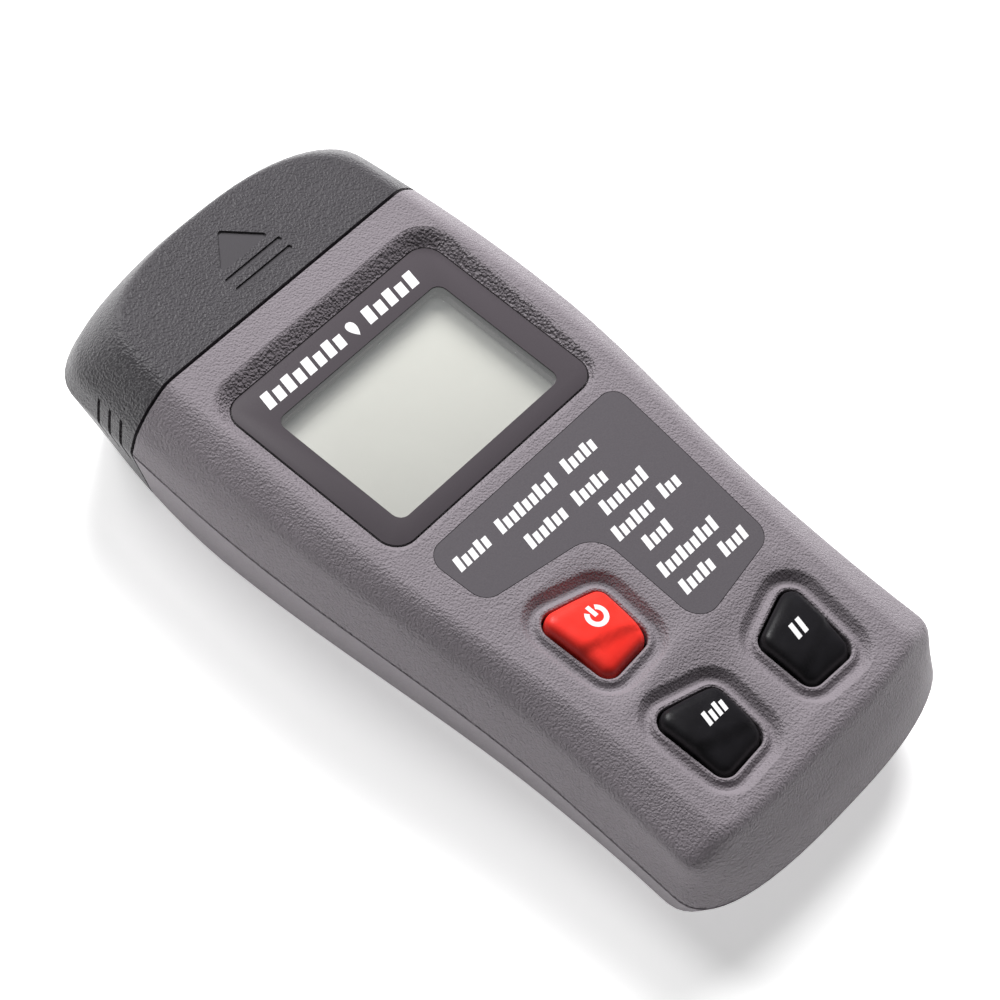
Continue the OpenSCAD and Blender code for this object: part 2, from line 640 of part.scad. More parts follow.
front_shell();
rear_shell();
pin_cap();
display_lens();
lens_border();
lcd_glass();
lcd_frame();
zebra_strips();
main_board();
controller_chip();
board_components();
wood_label();
keypad_mat();
power_key();
mode_key();
hold_key();
power_pill();
mode_pill();
hold_pill();
pin_block();
pin_posts();
pin_nuts();
probe_pin_left();
probe_pin_right();
probe_lead_left();
probe_lead_right();
cell_left();
cell_right();
bridge_contact();
positive_contact();
negative_contact();
contact_springs();
battery_lead_red();
battery_lead_black();
battery_door();
door_pad();
case_screws();
board_screws();
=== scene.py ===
import math

import bmesh
import bpy
from mathutils import Matrix, Vector


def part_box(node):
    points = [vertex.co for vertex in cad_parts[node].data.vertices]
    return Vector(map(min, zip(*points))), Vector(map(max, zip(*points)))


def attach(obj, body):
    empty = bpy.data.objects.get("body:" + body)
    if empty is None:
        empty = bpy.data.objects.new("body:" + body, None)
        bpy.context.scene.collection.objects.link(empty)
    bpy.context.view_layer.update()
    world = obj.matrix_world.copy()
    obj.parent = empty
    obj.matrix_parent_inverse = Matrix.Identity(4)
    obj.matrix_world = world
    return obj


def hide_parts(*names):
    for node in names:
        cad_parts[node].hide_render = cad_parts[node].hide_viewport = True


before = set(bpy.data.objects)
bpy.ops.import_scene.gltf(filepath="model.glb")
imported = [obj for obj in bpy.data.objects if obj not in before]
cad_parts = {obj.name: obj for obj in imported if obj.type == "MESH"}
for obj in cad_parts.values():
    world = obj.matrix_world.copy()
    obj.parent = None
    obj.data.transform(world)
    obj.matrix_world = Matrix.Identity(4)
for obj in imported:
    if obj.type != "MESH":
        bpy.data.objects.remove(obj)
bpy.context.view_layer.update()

# ---- Table, light and camera ----
# The meter lies on its back on a plain white table that glows a little. The main soft lamp stands
# high on its right and leaves no glare; a weaker one stands beyond the cap. The room is dim.
VIEW_AZIMUTH = math.radians(-58.23)
VIEW_ELEVATION = math.radians(56.57)
VIEW_ROLL = math.radians(11.09)
VIEW_DISTANCE = 0.5205
VIEW_TARGET = Vector((-0.0008, -0.0001, 0.020))
LENS = 126

camera = bpy.data.objects.new("camera", bpy.data.cameras.new("camera"))
camera.data.lens = LENS
camera.data.sensor_width = 36
camera.data.clip_start = 0.01
turn = (
    Matrix.Rotation(VIEW_AZIMUTH, 4, "Z")
    @ Matrix.Rotation(math.pi / 2 - VIEW_ELEVATION, 4, "X")
    @ Matrix.Rotation(VIEW_ROLL, 4, "Z")
)
camera.matrix_world = Matrix.Translation(VIEW_TARGET) @ turn @ Matrix.Translation((0, 0, VIEW_DISTANCE))
bpy.context.scene.collection.objects.link(camera)
bpy.context.scene.camera = camera
bpy.context.scene.view_settings.view_transform = "Standard"


def soft_lamp(name, place, size, power, seen_in_gloss):
    data = bpy.data.lights.new(name, "AREA")
    data.size = size
    data.energy = power
    lamp = bpy.data.objects.new(name, data)
    lamp.matrix_world = (
        Matrix.Translation(place)
        @ Vector(place).to_track_quat("Z", "Y").to_matrix().to_4x4()
    )
    lamp.visible_glossy = seen_in_gloss
    bpy.context.scene.collection.objects.link(lamp)


soft_lamp("cap_end_lamp", (-0.05, 1.05, 1.1), 0.6, 10, True)
soft_lamp("main_lamp", (0.85, 0.66, 1.0), 0.9, 40, False)

room = bpy.data.worlds.new("room")
room.use_nodes = True
room.node_tree.nodes["Background"].inputs["Color"].default_value = (1, 1, 1, 1)
room.node_tree.nodes["Background"].inputs["Strength"].default_value = 0.04
bpy.context.scene.world = room

TABLE_HALF = 3
TABLE_DROP = 0.0001
floor_mesh = bmesh.new()
bmesh.ops.create_grid(floor_mesh, x_segments=1, y_segments=1, size=TABLE_HALF)
bmesh.ops.translate(floor_mesh, vec=(0, 0, -TABLE_DROP), verts=floor_mesh.verts)
floor = bpy.data.objects.new("table_top", bpy.data.meshes.new("table_top"))
floor_mesh.to_mesh(floor.data)
floor_mesh.free()
floor_paint = bpy.data.materials.new("white table")
floor_paint.use_nodes = True
paint = floor_paint.node_tree.nodes["Principled BSDF"].inputs
paint["Base Color"].default_value = (0.94, 0.94, 0.94, 1)
paint["Roughness"].default_value = 0.9
paint["Emission Color"].default_value = (1, 1, 1, 1)
paint["Emission Strength"].default_value = 0.5
floor.data.materials.append(floor_paint)
bpy.context.scene.collection.objects.link(floor)

# ---- Front shell ----
# Injection-moulded warm grey ABS with a pebbled outside. It holds the lens in a recess and lets
# the three keys through dished openings. A neck at its front carries the cap. Sizes are in mm.
MM = 0.001
LENGTH_HALF = 67.8
HEIGHT = 29.5
SEAM_Y = 45.0
SEAM_GAP = 0.28
NECK_END = 52.5
WALL = 2.0
CAP_WALL = 1.8
CAP_GAP = 0.4
JOINT_DEPTH = 11.4
GROOVE = 0.28
FACE_RADIUS = 940
FLAT_Y = 52.5


class Shade:
    """A socket in a material's nodes, so that shader maths reads as ordinary sums."""

    def __init__(self, tree, socket=None):
        self.tree = tree
        self.socket = socket

    def node(self, kind, settings=None, inputs=None, output=0):
        made = self.tree.nodes.new(kind)
        for key, value in (settings or {}).items():
            if key == "stops":
                ramp = made.color_ramp.elements
                for element, (position, colour) in zip(ramp, value):
                    element.position = position
                    element.color = colour
                for position, colour in value[2:]:
                    ramp.new(position).color = colour
            else:
                setattr(made, key, value)
        for key, value in (inputs or {}).items():
            if isinstance(value, Shade):
                self.tree.links.new(value.socket, made.inputs[key])
            else:
                made.inputs[key].default_value = value
        return Shade(self.tree, made.outputs[output])

    def maths(self, operation, first, second=0.0):
        return self.node("ShaderNodeMath", {"operation": operation}, {0: first, 1: second})

    def __add__(self, other):
        return self.maths("ADD", self, other)

    def __mul__(self, other):
        return self.maths("MULTIPLY", self, other)

    def __sub__(self, other):
        return self.maths("SUBTRACT", self, other)

    def __rsub__(self, other):
        return self.maths("SUBTRACT", other, self)

    def __gt__(self, other):
        return self.maths("GREATER_THAN", self, other)

    def __lt__(self, other):
        return self.maths("LESS_THAN", self, other)

    __radd__ = __add__
    __rmul__ = __mul__

    def blend(self, low, high):
        """Colour low where this is 0 and colour high where it is 1."""
        return self.node(
            "ShaderNodeMix", {"data_type": "RGBA"}, {"Factor": self, "A": low, "B": high}, "Result"
        )

    def feed(self, skin, name):
        self.tree.links.new(self.socket, skin.inputs[name])


def new_material(name):
    """A material, its shader and the place of each point on the object, in metres."""
    made = bpy.data.materials.new(name)
    made.use_nodes = True
    skin = made.node_tree.nodes["Principled BSDF"]
    place = Shade(made.node_tree).node("ShaderNodeTexCoord", output="Object")
    return made, skin, place


def grains(place, size, detail=2.0):
    """Cloudy noise with grains of about that size in metres."""
    return place.node("ShaderNodeTexNoise", None, {"Vector": place, "Scale": 1 / size, "Detail": detail})


def pebbles(place, size):
    """Rounded pebbles of about that size in metres, as spark erosion leaves them in a mould."""
    bent = place.node(
        "ShaderNodeVectorMath", {"operation": "MULTIPLY_ADD"},
        {0: place.node("ShaderNodeTexNoise", None, {"Vector": place, "Scale": 0.7 / size}, "Color"),
         1: (size * 1.2,) * 3, 2: place},
    )
    return place.node(
        "ShaderNodeTexVoronoi", {"feature": "SMOOTH_F1"},
        {"Vector": bent, "Scale": 1 / size, "Smoothness": 0.6},
    )


def raised(height, distance, strength=1.0):
    """Bumps of that height in metres, as a normal."""
    return height.node(
        "ShaderNodeBump", None, {"Height": height, "Distance": distance, "Strength": strength}
    )


def shade_of(colour, light=1.0):
    return tuple(min(1, part * light) for part in colour) + (1,)


def coat(skin, tone, dark, light, roughness, relief, depth):
    """Feeds a shader: colours from dark to light as the tone goes, a roughness, and bumps."""
    tone.blend(dark, light).feed(skin, "Base Color")
    roughness.feed(skin, "Roughness")
    raised(relief, depth).feed(skin, "Normal")


def printed(name, dark, light, tone_grain, rough, relief_grain, depth, detail=2.0, gloss=0.5):
    """A thin even coat with a fine grain; rough is (grain size, spread, least roughness)."""
    made, skin, place = new_material(name)
    grain, spread, least = rough
    coat(
        skin, grains(place, tone_grain, detail), shade_of(dark), shade_of(light),
        grains(place, grain) * spread + least, grains(place, relief_grain, detail), depth,
    )
    skin.inputs["Specular IOR Level"].default_value = gloss
    return made


def moulded_plastic(name, colour, roughness, pebble=0.00035, depth=0.00015, gloss=0.5):
    """Moulded plastic: pebbled, with faint flow marks, and a little worn to a shine on the pebbles."""
    made, skin, place = new_material(name)
    bump = pebbles(place, pebble)
    tone = grains(place, 0.009) * 0.55 + grains(place, pebble * 0.8) * 0.45
    dark, light = shade_of(colour, 0.86), shade_of(colour, 1.14)
    coat(skin, tone, dark, light, roughness - 0.10 + bump * 0.2, 1 - bump, depth)
    skin.inputs["Specular IOR Level"].default_value = gloss
    return made


def ease(t):
    t = min(1, max(0, t))
    return t * t * (3 - 2 * t)


def flank(y, wide, foot, head_y, foot_y, drawn, peak_y, drawn_len):
    """Half width that swells from a narrow foot to a wide head and draws in at the nose."""
    swell = (wide - foot) * ease((head_y - y) / (head_y - foot_y))
    return wide - swell - drawn * (max(0, y - peak_y) / drawn_len) ** 2


def face_z(y):
    return HEIGHT - max(0, FLAT_Y - y) ** 2 / (2 * FACE_RADIUS)


def joint_half(y):
    return flank(y, 33.3, 29.1, 25, -38, 0.7, 25, 20)


def shoulder_half(y):
    return flank(y, 30.9, 27.4, 15, -30, 1.7, 15, 30) + 0.9 * (max(0, -38 - y) / 20) ** 2


def face_half(y):
    return flank(y, 26.4, 22.2, 12, -45, 1.2, 12, 33)


def back_half(y):
    return flank(y, 28.5, 24.8, 30, -35, 1.4, 28, 17) + 0.5 * (max(0, -40 - y) / 15) ** 2


class Level:
    """A line round the case: its half width, how much wider it runs, its height, how far in from
    the tail and nose it closes, and the length and squareness of its corners at each."""

    def __init__(self, half, out, height, tail, nose, tail_corner, nose_corner):
        self.half, self.out, self.height = half, out, height
        self.tail, self.nose = tail, nose
        self.tail_corner, self.nose_corner = tail_corner, nose_corner

    def point(self, y, reach, inset, drop):
        z = self.height(y) if callable(self.height) else self.height
        return Vector(((self.half(y) + self.out - inset) * reach, y, z + drop))


def below_face(depth):
    return lambda y: face_z(y) - depth


JOINT_IN = Level(joint_half, -GROOVE, below_face(JOINT_DEPTH), GROOVE, GROOVE, (9, 2.6), (10, 2.6))
JOINT_TOP = Level(joint_half, 0, below_face(JOINT_DEPTH - GROOVE), 0.02, 0.02, (9, 2.6), (10, 2.6))
JOINT_LOW = Level(joint_half, 0, below_face(JOINT_DEPTH + GROOVE), 0.02, 0.02, (9, 2.6), (10, 2.6))
FLANK = Level(joint_half, -0.75, below_face(7), 2.0, 1.2, (8, 2.8), (10.5, 2.6))
SHOULDER = Level(shoulder_half, 0.1, below_face(3.0), 4.6, 2.7, (6.5, 3), (11, 2.6))
ROLL = Level(face_half, 1.3, below_face(0.55), 6.2, 4.0, (4.5, 4.5), (12, 2.6))
FACE_EDGE = Level(face_half, -0.1, below_face(0), 7.5, 4.5, (4, 5), (12, 2.6))
FACE_IN = Level(face_half, -2.6, below_face(0), 10.5, 7.2, (3.5, 5), (11, 2.6))
BACK_EDGE = Level(back_half, -0.1, 0.0, 3.6, 2.4, (9, 2.6), (10, 2.6))
BACK_IN = Level(back_half, -4.5, 0.0, 8, 7, (7, 2.6), (8, 2.6))

CORNER_STEPS = 14
SIDE_STEPS = 26


def half_ring(level, end_y, way, corner, mouth_y, inset=0.0, drop=0.0):
    """The line's right half, from the middle of its closed end to its open mouth."""
    length, square = corner
    made = []
    for i in range(CORNER_STEPS):
        angle = math.pi / 2 * (i + 0.35) / CORNER_STEPS
        y = end_y + way * length * (1 - math.cos(angle) ** (2 / square))
        made.append(level.point(y, math.sin(angle) ** (2 / square), inset, drop))
    corner_y = end_y + way * length
    for i in range(SIDE_STEPS + 1):
        y = corner_y + (mouth_y - corner_y) * i / SIDE_STEPS
        made.append(level.point(y, 1, inset, drop))
    return made


def body_half(level, mouth_y=SEAM_Y, inset=0.0, drop=0.0):
    return half_ring(level, level.tail + inset - LENGTH_HALF, 1, level.tail_corner, mouth_y, inset, drop)


def cap_half(level, mouth_y=SEAM_Y, inset=0.0, drop=0.0):
    return half_ring(level, LENGTH_HALF - level.nose - inset, -1, level.nose_corner, mouth_y, inset, drop)


NECK_IN = CAP_WALL + CAP_GAP


def neck_half(level, inset=0.0, drop=0.0, end_y=NECK_END):
    """The neck's outside, further in than the cap's wall and its gap by the inset."""
    return half_ring(level, end_y, -1, (3, 4), SEAM_Y - 1, NECK_IN + inset, drop)


def neck_room(level, inset=0.0, drop=0.0):
    """The hollow in the neck, one wall further in."""
    return half_ring(level, NECK_END - WALL, -1, (3, 4), SEAM_Y - 4, NECK_IN + WALL + inset, drop)


def soften(path, reaches, steps=4):
    """The path with each inner corner rounded, over the given reach each side of it."""
    made = [path[0]]
    for before, corner, after, reach in zip(path, path[1:], path[2:], reaches):
        run_in = before - corner
        run_out = after - corner
        start = corner + run_in * min(0.48, reach / max(run_in.length, 1e-6))
        end = corner + run_out * min(0.48, reach / max(run_out.length, 1e-6))
        if reach == 0:
            made.append(corner)
            continue
        for k in range(steps + 1):
            t = k / steps
            made.append(start * (1 - t) ** 2 + corner * (2 * t * (1 - t)) + end * t ** 2)
    made.append(path[-1])
    return made


def soften_halves(halves, reaches):
    """Half rings from bottom to top, with the section rounded at the inner ones."""
    columns = [soften([half[i] for half in halves], reaches) for i in range(len(halves[0]))]
    return [[column[j] for column in columns] for j in range(len(columns[0]))]


def ring_edges(bm, points):
    corners = [bm.verts.new(p) for p in points]
    return [bm.edges.new((a, b)) for a, b in zip(corners, corners[1:] + corners[:1])]


def skin_rings(bm, rings):
    for low, high in zip(rings, rings[1:]):
        bmesh.ops.bridge_loops(bm, edges=low + high)


def case_loft(halves):
    """A solid through half rings, mirrored to the left, its top and bottom closed by strips."""
    bm = bmesh.new()
    rings = []
    for half in halves:
        left = [Vector((-p.x, p.y, p.z)) for p in reversed(half)]
        rings.append(ring_edges(bm, left + half))
    skin_rings(bm, rings)
    for ring in (rings[0], rings[-1]):
        middle = len(ring) // 2
        bmesh.ops.bridge_loops(bm, edges=ring[:middle - 1] + ring[middle:-1])
    bmesh.ops.recalc_face_normals(bm, faces=bm.faces)
    return bm


def ring_loft(rings):
    """A solid through closed rings of points, with flat ends."""
    bm = bmesh.new()
    loops = [ring_edges(bm, points) for points in rings]
    skin_rings(bm, loops)
    bmesh.ops.contextual_create(bm, geom=loops[0])
    bmesh.ops.contextual_create(bm, geom=loops[-1])
    bmesh.ops.recalc_face_normals(bm, faces=bm.faces)
    return bm


def prism(outline, low, high):
    """A solid with upright walls along an outline."""
    return ring_loft([[Vector((*p, z)) for p, n in outline] for z in (low, high)])


def block(low, high):
    bm = bmesh.new()
    bmesh.ops.create_cube(bm, size=1)
    size = Vector(high) - Vector(low)
    bmesh.ops.scale(bm, vec=size, verts=bm.verts)
    bmesh.ops.translate(bm, vec=(Vector(high) + Vector(low)) / 2, verts=bm.verts)
    return bm


def rod(start, end, radius, end_radius=None, segments=48):
    """A round bar from start to end."""
    bm = bmesh.new()
    along = Vector(end) - Vector(start)
    bmesh.ops.create_cone(
        bm, cap_ends=True, segments=segments, radius1=radius,
        radius2=radius if end_radius is None else end_radius, depth=along.length,
        matrix=Matrix.Translation((Vector(start) + Vector(end)) / 2)
        @ along.to_track_quat("Z", "Y").to_matrix().to_4x4(),
    )
    return bm


def carve(bm, operation, *tools):
    """Cuts the tools from the shape, joins them to it, or keeps only what both share."""
    def loose(shape):
        mesh = bpy.data.meshes.new("working")
        shape.to_mesh(mesh)
        shape.free()
        made = bpy.data.objects.new("working", mesh)
        bpy.context.scene.collection.objects.link(made)
        return made

    body = loose(bm)
    cutters = [loose(tool) for tool in tools]
    for cutter in cutters:
        step = body.modifiers.new("carve", "BOOLEAN")
        step.operation = operation
        step.solver = "EXACT"
        step.object = cutter
    result = body.evaluated_get(bpy.context.evaluated_depsgraph_get()).to_mesh()
    made = bmesh.new()
    made.from_mesh(result)
    for used in [body] + cutters:
        mesh = used.data
        bpy.data.objects.remove(used)
        bpy.data.meshes.remove(mesh)
    bmesh.ops.remove_doubles(made, verts=made.verts, dist=0.002)
    bmesh.ops.dissolve_degenerate(made, dist=0.002, edges=made.edges)
    return made


def finish_piece(name, bm, material, body, replaced=(), sharp=24, other=None, where=None):
    """Turns a shape in millimetres into a finished piece in metres that rides on its body.
    Faces for which where(middle, normal) holds take the other material."""
    limit = math.radians(sharp)
    for face in bm.faces:
        face.smooth = True
        if where and where(face.calc_center_median(), face.normal):
            face.material_index = 1
    bmesh.ops.scale(bm, vec=(MM, MM, MM), verts=bm.verts)
    for edge in bm.edges:
        edge.smooth = len(edge.link_faces) == 2 and edge.calc_face_angle(0) < limit
    mesh = bpy.data.meshes.new(name)
    bm.to_mesh(mesh)
    bm.free()
    piece = bpy.data.objects.new(name, mesh)
    bpy.context.scene.collection.objects.link(piece)
    mesh.materials.append(material)
    if other:
        mesh.materials.append(other)
    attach(piece, body)
    if replaced:
        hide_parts(*replaced)
    return piece


def unit(v):
    return v / v.length


def rounded_outline(points, radii, out=0.0, steps=8):
    """A flat outline moved outwards by out and rounded, as (point, outward direction) pairs.
    The points run anticlockwise, and a radius below 0 marks an inner corner."""
    made = []
    count = len(points)
    for i, radius in enumerate(radii):
        here = Vector(points[i])
        run_in = unit(Vector(points[i - 1]) - here)
        run_out = unit(Vector(points[(i + 1) % count]) - here)
        half = run_in.angle(run_out) / 2
        centre = here + unit(run_in + run_out) * abs(radius) / math.sin(half)
        a = here + run_in * abs(radius) / math.tan(half) - centre
        b = here + run_out * abs(radius) / math.tan(half) - centre
        sweep = a.angle(b)
        for k in range(steps + 1):
            t = k / steps
            spoke = (a * math.sin(sweep * (1 - t)) + b * math.sin(sweep * t)) / math.sin(sweep)
            outward = unit(spoke) * (1 if radius > 0 else -1)
            made.append((centre + spoke + outward * out, outward))
    return made


def box_outline(width, height, centre_y, radius, out=0.0):
    w, h = width / 2, height / 2
    corners = [(-w, centre_y - h), (w, centre_y - h), (w, centre_y + h), (-w, centre_y + h)]
    return rounded_outline(corners, [radius] * 4, out)


LENS_TOP = 27.4
LENS_THICK = 1.5
LENS_Y = 19.25
LENS_W = 45.0
LENS_H = 35.0
LENS_CORNER = 3.5
WINDOW_Y = 17.5
WINDOW_W = 36.0
WINDOW_H = 24.8
WINDOW_CORNER = 1.7
LENS_GAP = 0.22
SEAT_Z = LENS_TOP - LENS_THICK


def recess_tool():
    """What the lens recess takes away: the lens's own seat, and walls that lean out to the face."""
    outline = box_outline(LENS_W, LENS_H, LENS_Y, LENS_CORNER)

    def ring(climb, out, lift):
        made = []
        for p, n in outline:
            rise = face_z(p.y) - LENS_TOP
            q = p + n * (LENS_GAP + out + 0.95 * rise * climb)
            made.append(Vector((q.x, q.y, LENS_TOP + rise * climb + lift)))
        return made

    seat = [Vector((*(p + n * LENS_GAP), SEAT_Z)) for p, n in outline]
    return ring_loft([
        seat, ring(0, 0, -0.15), ring(0, 0.2, -0.02), ring(0.08, 0.25, 0), ring(0.82, 0.25, 0),
        ring(0.95, 0.36, 0),
        ring(1, 0.62, 0.02), ring(1, 1.2, 0.35), ring(1, 1.2, 3),
    ])


KEY_CORNERS = [(-5.9, 7.5), (-4.9, -7.3), (5.5, -6.8), (5.9, 4.0)]
KEY_RADII = [2.4] * 4
POWER_AT = Vector((-11, -26.3))
MODE_AT = Vector((-10.5, -48))
HOLD_AT = Vector((10.5, -48))
KEYS_AT = (POWER_AT, MODE_AT, HOLD_AT)
# Section of the dish round a key: distance outside the opening, and depth below the face
DISH = [(0, 8), (0, 1.05), (0.12, 0.86), (0.4, 0.74), (0.7, 0.86), (1.0, 1.2), (1.35, 1.38), (1.8, 1.36),
        (2.1, 1.15), (2.75, 0.32), (3.0, 0.12), (3.35, -0.03), (4.0, -0.4), (4.0, -4)]


def key_outline(at, out):
    """The key opening's outline at a place on the face; the right-hand key is a mirror image."""
    side = -1 if at.x > 0 else 1
    outline = rounded_outline(KEY_CORNERS, KEY_RADII, out)
    made = [(Vector((p.x * side, p.y)) + at) for p, n in outline]
    return made if side > 0 else made[::-1]


def dish_tool(at):
    rings = []
    for out, depth in DISH:
        rings.append([Vector((p.x, p.y, face_z(p.y) - depth)) for p in key_outline(at, out)])
    return ring_loft(rings)


LABEL_CORNERS = [(-20.4, -1.5), (-19.6, -12.6), (0.9, -16.2), (0.9, -37), (19.9, -34.4), (22.4, -1.5)]
LABEL_RADII = [3, 3.2, -5, 3.6, 3.4, 2.6]
LABEL_THICK = 0.3


def face_layer(low, high):
    """A layer that follows the curve of the face, between two heights measured from it."""
    bm = bmesh.new()
    bmesh.ops.create_grid(bm, x_segments=1, y_segments=24, size=1)
    bmesh.ops.scale(bm, vec=(26, 22, 1), verts=bm.verts)
    bmesh.ops.translate(bm, vec=(0, -20, 0), verts=bm.verts)
    for v in bm.verts:
        v.co.z = face_z(v.co.y) + low
    grown = bmesh.ops.extrude_face_region(bm, geom=bm.faces[:])["geom"]
    bmesh.ops.translate(
        bm, vec=(0, 0, high - low), verts=[g for g in grown if isinstance(g, bmesh.types.BMVert)]
    )
    bmesh.ops.recalc_face_normals(bm, faces=bm.faces)
    return bm


def label_shape(out, low, high):
    """The label's outline, grown by out, through a layer of the face."""
    outline = rounded_outline(LABEL_CORNERS, LABEL_RADII, out)
    return carve(prism(outline, 18, 36), "INTERSECT", face_layer(low, high))


def inner_half(level, inset, drop):
    return body_half(level, SEAM_Y - WALL, inset, drop)


mouth = SEAM_Y - SEAM_GAP
outer_levels = [JOINT_IN, JOINT_TOP, FLANK, SHOULDER, ROLL, FACE_EDGE, FACE_IN]
front = case_loft(soften_halves([body_half(level, mouth) for level in outer_levels], [0, 1.6, 1.5, 1.1, 0.5]))
neck_levels = [
    neck_half(JOINT_IN, -GROOVE), neck_half(SHOULDER), neck_half(ROLL, 0, -1.6),
    neck_half(FACE_IN, 0, -NECK_IN, NECK_END - 0.1),
]
front = carve(front, "UNION", case_loft(soften_halves(neck_levels, [1.0, 1.0])))
hollow = case_loft([
    inner_half(JOINT_TOP, WALL, -1), inner_half(SHOULDER, WALL, -0.9), inner_half(FACE_IN, 0, -WALL),
])
neck_hollow = case_loft([
    neck_room(JOINT_TOP, 0, -1), neck_room(SHOULDER, 0, -0.9), neck_room(FACE_IN, -WALL, -NECK_IN - WALL),
])
front = carve(front, "DIFFERENCE", hollow, neck_hollow)
lens_seat = prism(box_outline(LENS_W, LENS_H, LENS_Y, LENS_CORNER, 1.6), SEAT_Z - 1.5, LENS_TOP)
collars = [
    ring_loft([[Vector((p.x, p.y, face_z(p.y) - z)) for p in key_outline(at, 1.8)] for z in (4.2, 1.9)])
    for at in KEYS_AT
]
front = carve(front, "UNION", lens_seat, *collars)
window_line = box_outline(WINDOW_W, WINDOW_H, WINDOW_Y, WINDOW_CORNER)
window = prism(window_line, 20, 32)
dishes = [dish_tool(at) for at in KEYS_AT]
label_pocket = label_shape(0.1, -LABEL_THICK - 0.02, 2)
front = carve(front, "DIFFERENCE", recess_tool(), window, *dishes, label_pocket)
GREY = (0.222, 0.198, 0.218)
grey_shell = moulded_plastic("pebbled grey shell", GREY, 0.52)


def in_recess(middle, normal):
    near = abs(middle.x) < LENS_W / 2 + 2.6 and abs(middle.y - LENS_Y) < LENS_H / 2 + 2.8
    return near and LENS_TOP - 0.1 < middle.z < face_z(middle.y) - 0.05 and 0.3 < normal.z < 0.92


recess_wall = moulded_plastic("coarse recess wall", GREY, 0.40, 0.00042, 0.00030, 0.6)
finish_piece(
    "case_front", front, grey_shell, "case", ["front_shell"], 24, recess_wall, in_recess
)

# ---- Rear shell ----
# The other half of the case, moulded in the same grey. Its flat back holds the battery bay, four
# deep screw holes and the slots for the battery door's lugs, and it makes the neck's lower half.
HEAD_BOSS = (24.6, 36)
HEAD_SEAT = 7.5
FOOT_BOSS = (20.5, -53)
FOOT_SEAT = 4.2
BAY_HALF = 12.4
BAY_BACK = -45.5
BAY_FRONT = 4.5
BAY_ROOF = 13.5
DOOR_HALF = 14.6
DOOR_BACK = -49.0
DOOR_FRONT = 7.6
DOOR_GAP = 0.3
DOOR_THICK = 1.6
LEDGE_TOP = 2.9
PIN_HALF = 13.0
PIN_Z = 13.5
rear_levels = [BACK_IN, BACK_EDGE, JOINT_LOW, JOINT_IN]
rear = case_loft(soften_halves([body_half(level, mouth) for level in rear_levels], [2.4, 0]))
rear_neck = [
    neck_half(BACK_EDGE, 0.6, NECK_IN), neck_half(BACK_EDGE, -0.9, NECK_IN + 1.0), neck_half(JOINT_LOW),
    neck_half(JOINT_IN, -GROOVE),
]
rear = carve(rear, "UNION", case_loft(rear_neck))
rear = carve(
    rear, "DIFFERENCE",
    case_loft([inner_half(BACK_EDGE, WALL + 0.8, WALL), inner_half(BACK_EDGE, WALL - 0.6, WALL + 1),
               inner_half(JOINT_LOW, WALL, 1)]),
    case_loft([neck_room(BACK_EDGE, 0.5, NECK_IN + WALL), neck_room(BACK_EDGE, -1, NECK_IN + WALL + 1),
               neck_room(JOINT_LOW, 0, 1)]),
)


def both_sides(x, y, low, high, radius, high_radius=None):
    return [rod((side * x, y, low), (side * x, y, high), radius, high_radius) for side in (-1, 1)]


posts = both_sides(*HEAD_BOSS, 1, HEAD_SEAT + 2.5, 3.15) + both_sides(*FOOT_BOSS, 1, FOOT_SEAT + 2.5, 3.15)
bay_walls = block((-BAY_HALF - 1.2, BAY_BACK - 1.2, 1), (BAY_HALF + 1.2, BAY_FRONT + 1.2, BAY_ROOF + 1.2))
ledge = block((-DOOR_HALF - 1.6, DOOR_BACK - 0.6, 1), (DOOR_HALF + 1.6, DOOR_FRONT + 1.8, LEDGE_TOP))
rear = carve(rear, "UNION", bay_walls, ledge, *posts)
opening = block(
    (-DOOR_HALF - DOOR_GAP, DOOR_BACK - DOOR_GAP, -1),
    (DOOR_HALF + DOOR_GAP, DOOR_FRONT + DOOR_GAP, DOOR_THICK + 0.1),
)
LIP = 0.4
opening_lip = block(
    (-DOOR_HALF - DOOR_GAP - LIP, DOOR_BACK - DOOR_GAP - LIP, -1),
    (DOOR_HALF + DOOR_GAP + LIP, DOOR_FRONT + DOOR_GAP + LIP, LIP),
)
for v in opening_lip.verts:
    if v.co.z > 0:
        v.co.x -= math.copysign(LIP, v.co.x)
        v.co.y -= math.copysign(LIP, v.co.y)
bay = block((-BAY_HALF, BAY_BACK, -1), (BAY_HALF, BAY_FRONT, BAY_ROOF))
LUG_X = 8
lug_slots = [
    block((side * LUG_X - 3, DOOR_BACK - 3, 0.7), (side * LUG_X + 3, DOOR_BACK + 2, 6.7)) for side in (-1, 1)
]
notch = rod((-4.5, DOOR_FRONT + 0.2, 0.4), (4.5, DOOR_FRONT + 0.2, 0.4), 2.3)
wire_slots = [
    block((side * 5.9 - 1.2, BAY_FRONT - 0.5, 6.6), (side * 5.9 + 1.2, BAY_FRONT + 2, 14.6))
    for side in (-1, 1)
]
screw_holes = (
    both_sides(*HEAD_BOSS, -1, HEAD_SEAT, 2.5) + both_sides(*FOOT_BOSS, -1, FOOT_SEAT, 2.5)
    + both_sides(*HEAD_BOSS, HEAD_SEAT - 1, 20, 1.45) + both_sides(*FOOT_BOSS, FOOT_SEAT - 1, 20, 1.45)
    + both_sides(*HEAD_BOSS, -0.4, 0.45, 3.3, 2.45) + both_sides(*FOOT_BOSS, -0.4, 0.45, 3.3, 2.45)
)
pin_holes = [
    rod((side * PIN_HALF, NECK_END - WALL - 1, PIN_Z), (side * PIN_HALF, NECK_END + 1, PIN_Z), 3.4)
    for side in (-1, 1)
]
rear = carve(
    rear, "DIFFERENCE", bay, opening, opening_lip, notch, *lug_slots, *wire_slots, *screw_holes, *pin_holes
)
grey_back = moulded_plastic("pebbled grey back", GREY, 0.55)
